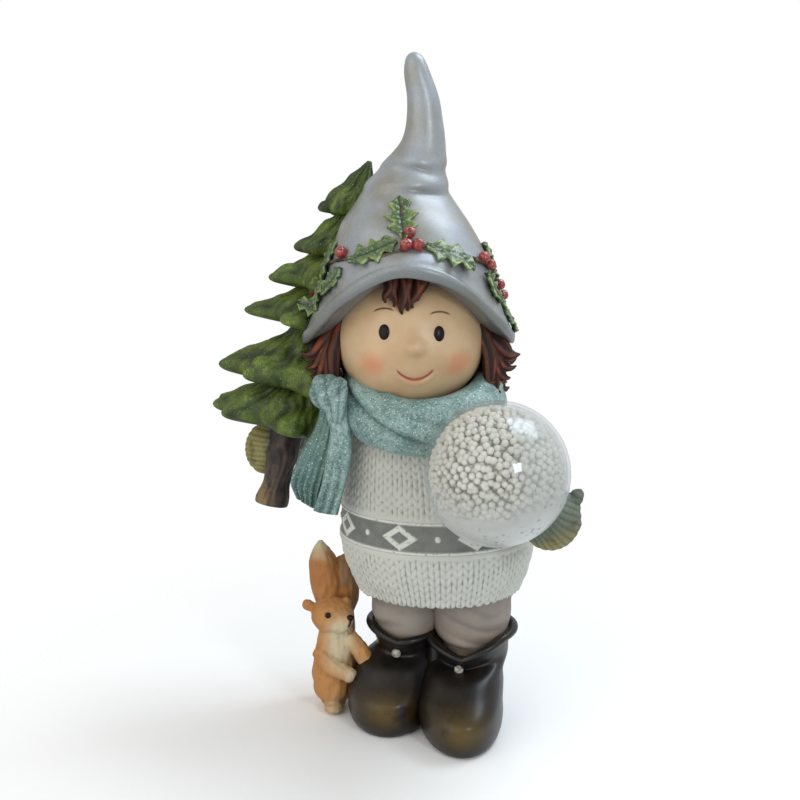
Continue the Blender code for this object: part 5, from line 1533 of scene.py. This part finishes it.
def beadMesh(shellRadius, spacing, detail, draw):
    # beads over one round layer, at even but jittered places
    g = globe
    seed = bmesh.new()
    bmesh.ops.create_icosphere(seed, subdivisions=detail, radius=1)
    ball = np.array([vert.co[:] for vert in seed.verts])
    faces = np.array([[vert.index for vert in face.verts] for face in seed.faces])
    seed.free()
    count = int(4 * math.pi * shellRadius**2 / (spacing**2 * 0.93))
    k = np.arange(count) + 0.5
    level = 1 - 2 * k / count
    golden = math.pi * (1 + math.sqrt(5)) * k
    ring = np.sqrt(1 - level**2)
    shell = np.stack([ring * np.cos(golden), ring * np.sin(golden), level], axis=-1)
    shell += draw.normal(size=shell.shape) * 0.02
    shell /= np.linalg.norm(shell, axis=1, keepdims=True)
    spots = shell * (shellRadius - np.abs(draw.normal(size=(count, 1))) * 0.6)
    sizes = draw.uniform(0.86, 1.06, count) * g["bead"]
    room = g["radius"] - g["wall"] - g["gap"] - sizes
    reach = np.linalg.norm(spots, axis=1)
    spots = spots * (np.minimum(reach, room) / reach)[:, None] + stance["globe"]
    points = (spots[:, None] + ball[None] * sizes[:, None, None]).reshape(-1, 3)
    index = (faces[None] + len(ball) * np.arange(count)[:, None, None]).reshape(-1, 3)
    mesh = bpy.data.meshes.new("beads")
    mesh.from_pydata((points * 0.001).tolist(), [], index.tolist())
    return mesh


def buildGlobe():
    g = globe
    piece("globe_clear", skin("globe_clear", shellGrid()), clearPlastic(), "globe_shell")
    draw = np.random.default_rng(9)
    touching = g["radius"] - g["wall"] - g["gap"] - g["bead"]
    core = skin("core", ballGrid(stance["globe"], (g["core"],) * 3, 24, 36))
    beads = [beadMesh(touching - 0.1, 3.6, 2, draw), beadMesh(touching - 2.5, 3.7, 1, draw)]
    fill = joined("globe_bead_fill", beads + [core])
    paint = Paint("bead_paint", Roughness=0.55, Subsurface_Weight=0.1, Subsurface_Scale=0.002)
    foam = paint.mix(paint.noise(9, 3).between(0.3, 0.7), g["foam"], g["foamShade"])
    paint.use(Base_Color=foam)
    paint.bump(paint.noise(0.8, 3), 0.08, 0.6)
    piece("globe_bead_fill", fill, paint.material, "globe_beads")


buildGlobe()
print("globe filled")

# Floor, lamps and camera

room = {
    "floorHalf": 1.6, "floorTones": ((250, 250, 249), (246, 247, 247)), "floorFade": (0.11, 0.32),
    "ambient": (0.645, 0.645, 0.64, 1), "backdrop": (1, 1, 1, 1), "aimHeight": 0.19,
    # place, size, power, colour
    "lamps": {
        "window": ((0.49, 0.17, 1.0), (0.5, 0.6), 6, (0.8, 0.9, 1.0)),
        "pane": ((0.44, -0.8, 0.49), (0.18, 0.2), 2, (0.82, 0.91, 1.0)),
        "fill": ((-0.9, -0.95, 0.6), (1.6, 1.6), 8, (1.0, 0.94, 0.86)),
    },
    "lens": 60.3, "camera": (-0.018, -0.7, 0.325), "cameraTilt": 78,
}


def lamp(name, aim, place, size, power, colour):
    data = bpy.data.lights.new(name, "AREA")
    data.shape = "RECTANGLE"
    data.size, data.size_y = size
    data.energy = power
    data.color = colour
    made = bpy.data.objects.new(name, data)
    made.location = place
    made.rotation_euler = (Vector(aim) - Vector(place)).to_track_quat("-Z", "Y").to_euler()
    bpy.context.scene.collection.objects.link(made)


def buildStage():
    centre = cadBox[0].lerp(cadBox[1], 0.5)
    mesh = bpy.data.meshes.new("floor")
    wide = room["floorHalf"]
    corners = [(-wide, -wide, 0), (wide, -wide, 0), (wide, wide, 0), (-wide, wide, 0)]
    mesh.from_pydata(corners, [], [(0, 1, 2, 3)])
    floor = bpy.data.objects.new("floor", mesh)
    floor.location.z = cadBox[0].z
    bpy.context.scene.collection.objects.link(floor)
    paint = Paint("floor_paint", Roughness=0.9)
    paint.use(Base_Color=paint.mix(paint.noise(300, 2), *room["floorTones"]))
    tree = paint.tree
    away = paint.node("ShaderNodeVectorMath", {"operation": "LENGTH"}, {0: paint.place()}, output="Value")
    clear = tree.nodes.new("ShaderNodeBsdfTransparent")
    both = tree.nodes.new("ShaderNodeMixShader")
    tree.links.new(away.between(*room["floorFade"]).socket, both.inputs[0])
    tree.links.new(paint.shader.outputs[0], both.inputs[1])
    tree.links.new(clear.outputs[0], both.inputs[2])
    tree.links.new(both.outputs[0], tree.nodes["Material Output"].inputs["Surface"])
    mesh.materials.append(paint.material)

    world = bpy.data.worlds.new("room")
    bpy.context.scene.world = world
    world.use_nodes = True
    nodes, links = world.node_tree.nodes, world.node_tree.links
    seen = nodes.new("ShaderNodeLightPath")
    tones = nodes.new("ShaderNodeMix")
    tones.data_type = "RGBA"
    tones.inputs[6].default_value = room["ambient"]
    tones.inputs[7].default_value = room["backdrop"]
    links.new(seen.outputs["Is Camera Ray"], tones.inputs[0])
    links.new(tones.outputs[2], nodes["Background"].inputs["Color"])

    for name, look in room["lamps"].items():
        lamp(name, (centre.x, centre.y, room["aimHeight"]), *look)

    data = bpy.data.cameras.new("camera")
    data.lens = room["lens"]
    data.sensor_width = 36
    camera = bpy.data.objects.new("camera", data)
    camera.location = room["camera"]
    camera.rotation_euler = (math.radians(room["cameraTilt"]), 0, 0)
    bpy.context.scene.collection.objects.link(camera)
    bpy.context.scene.camera = camera
    bpy.context.scene.view_settings.view_transform = "Standard"


buildStage()
print("scene ready")
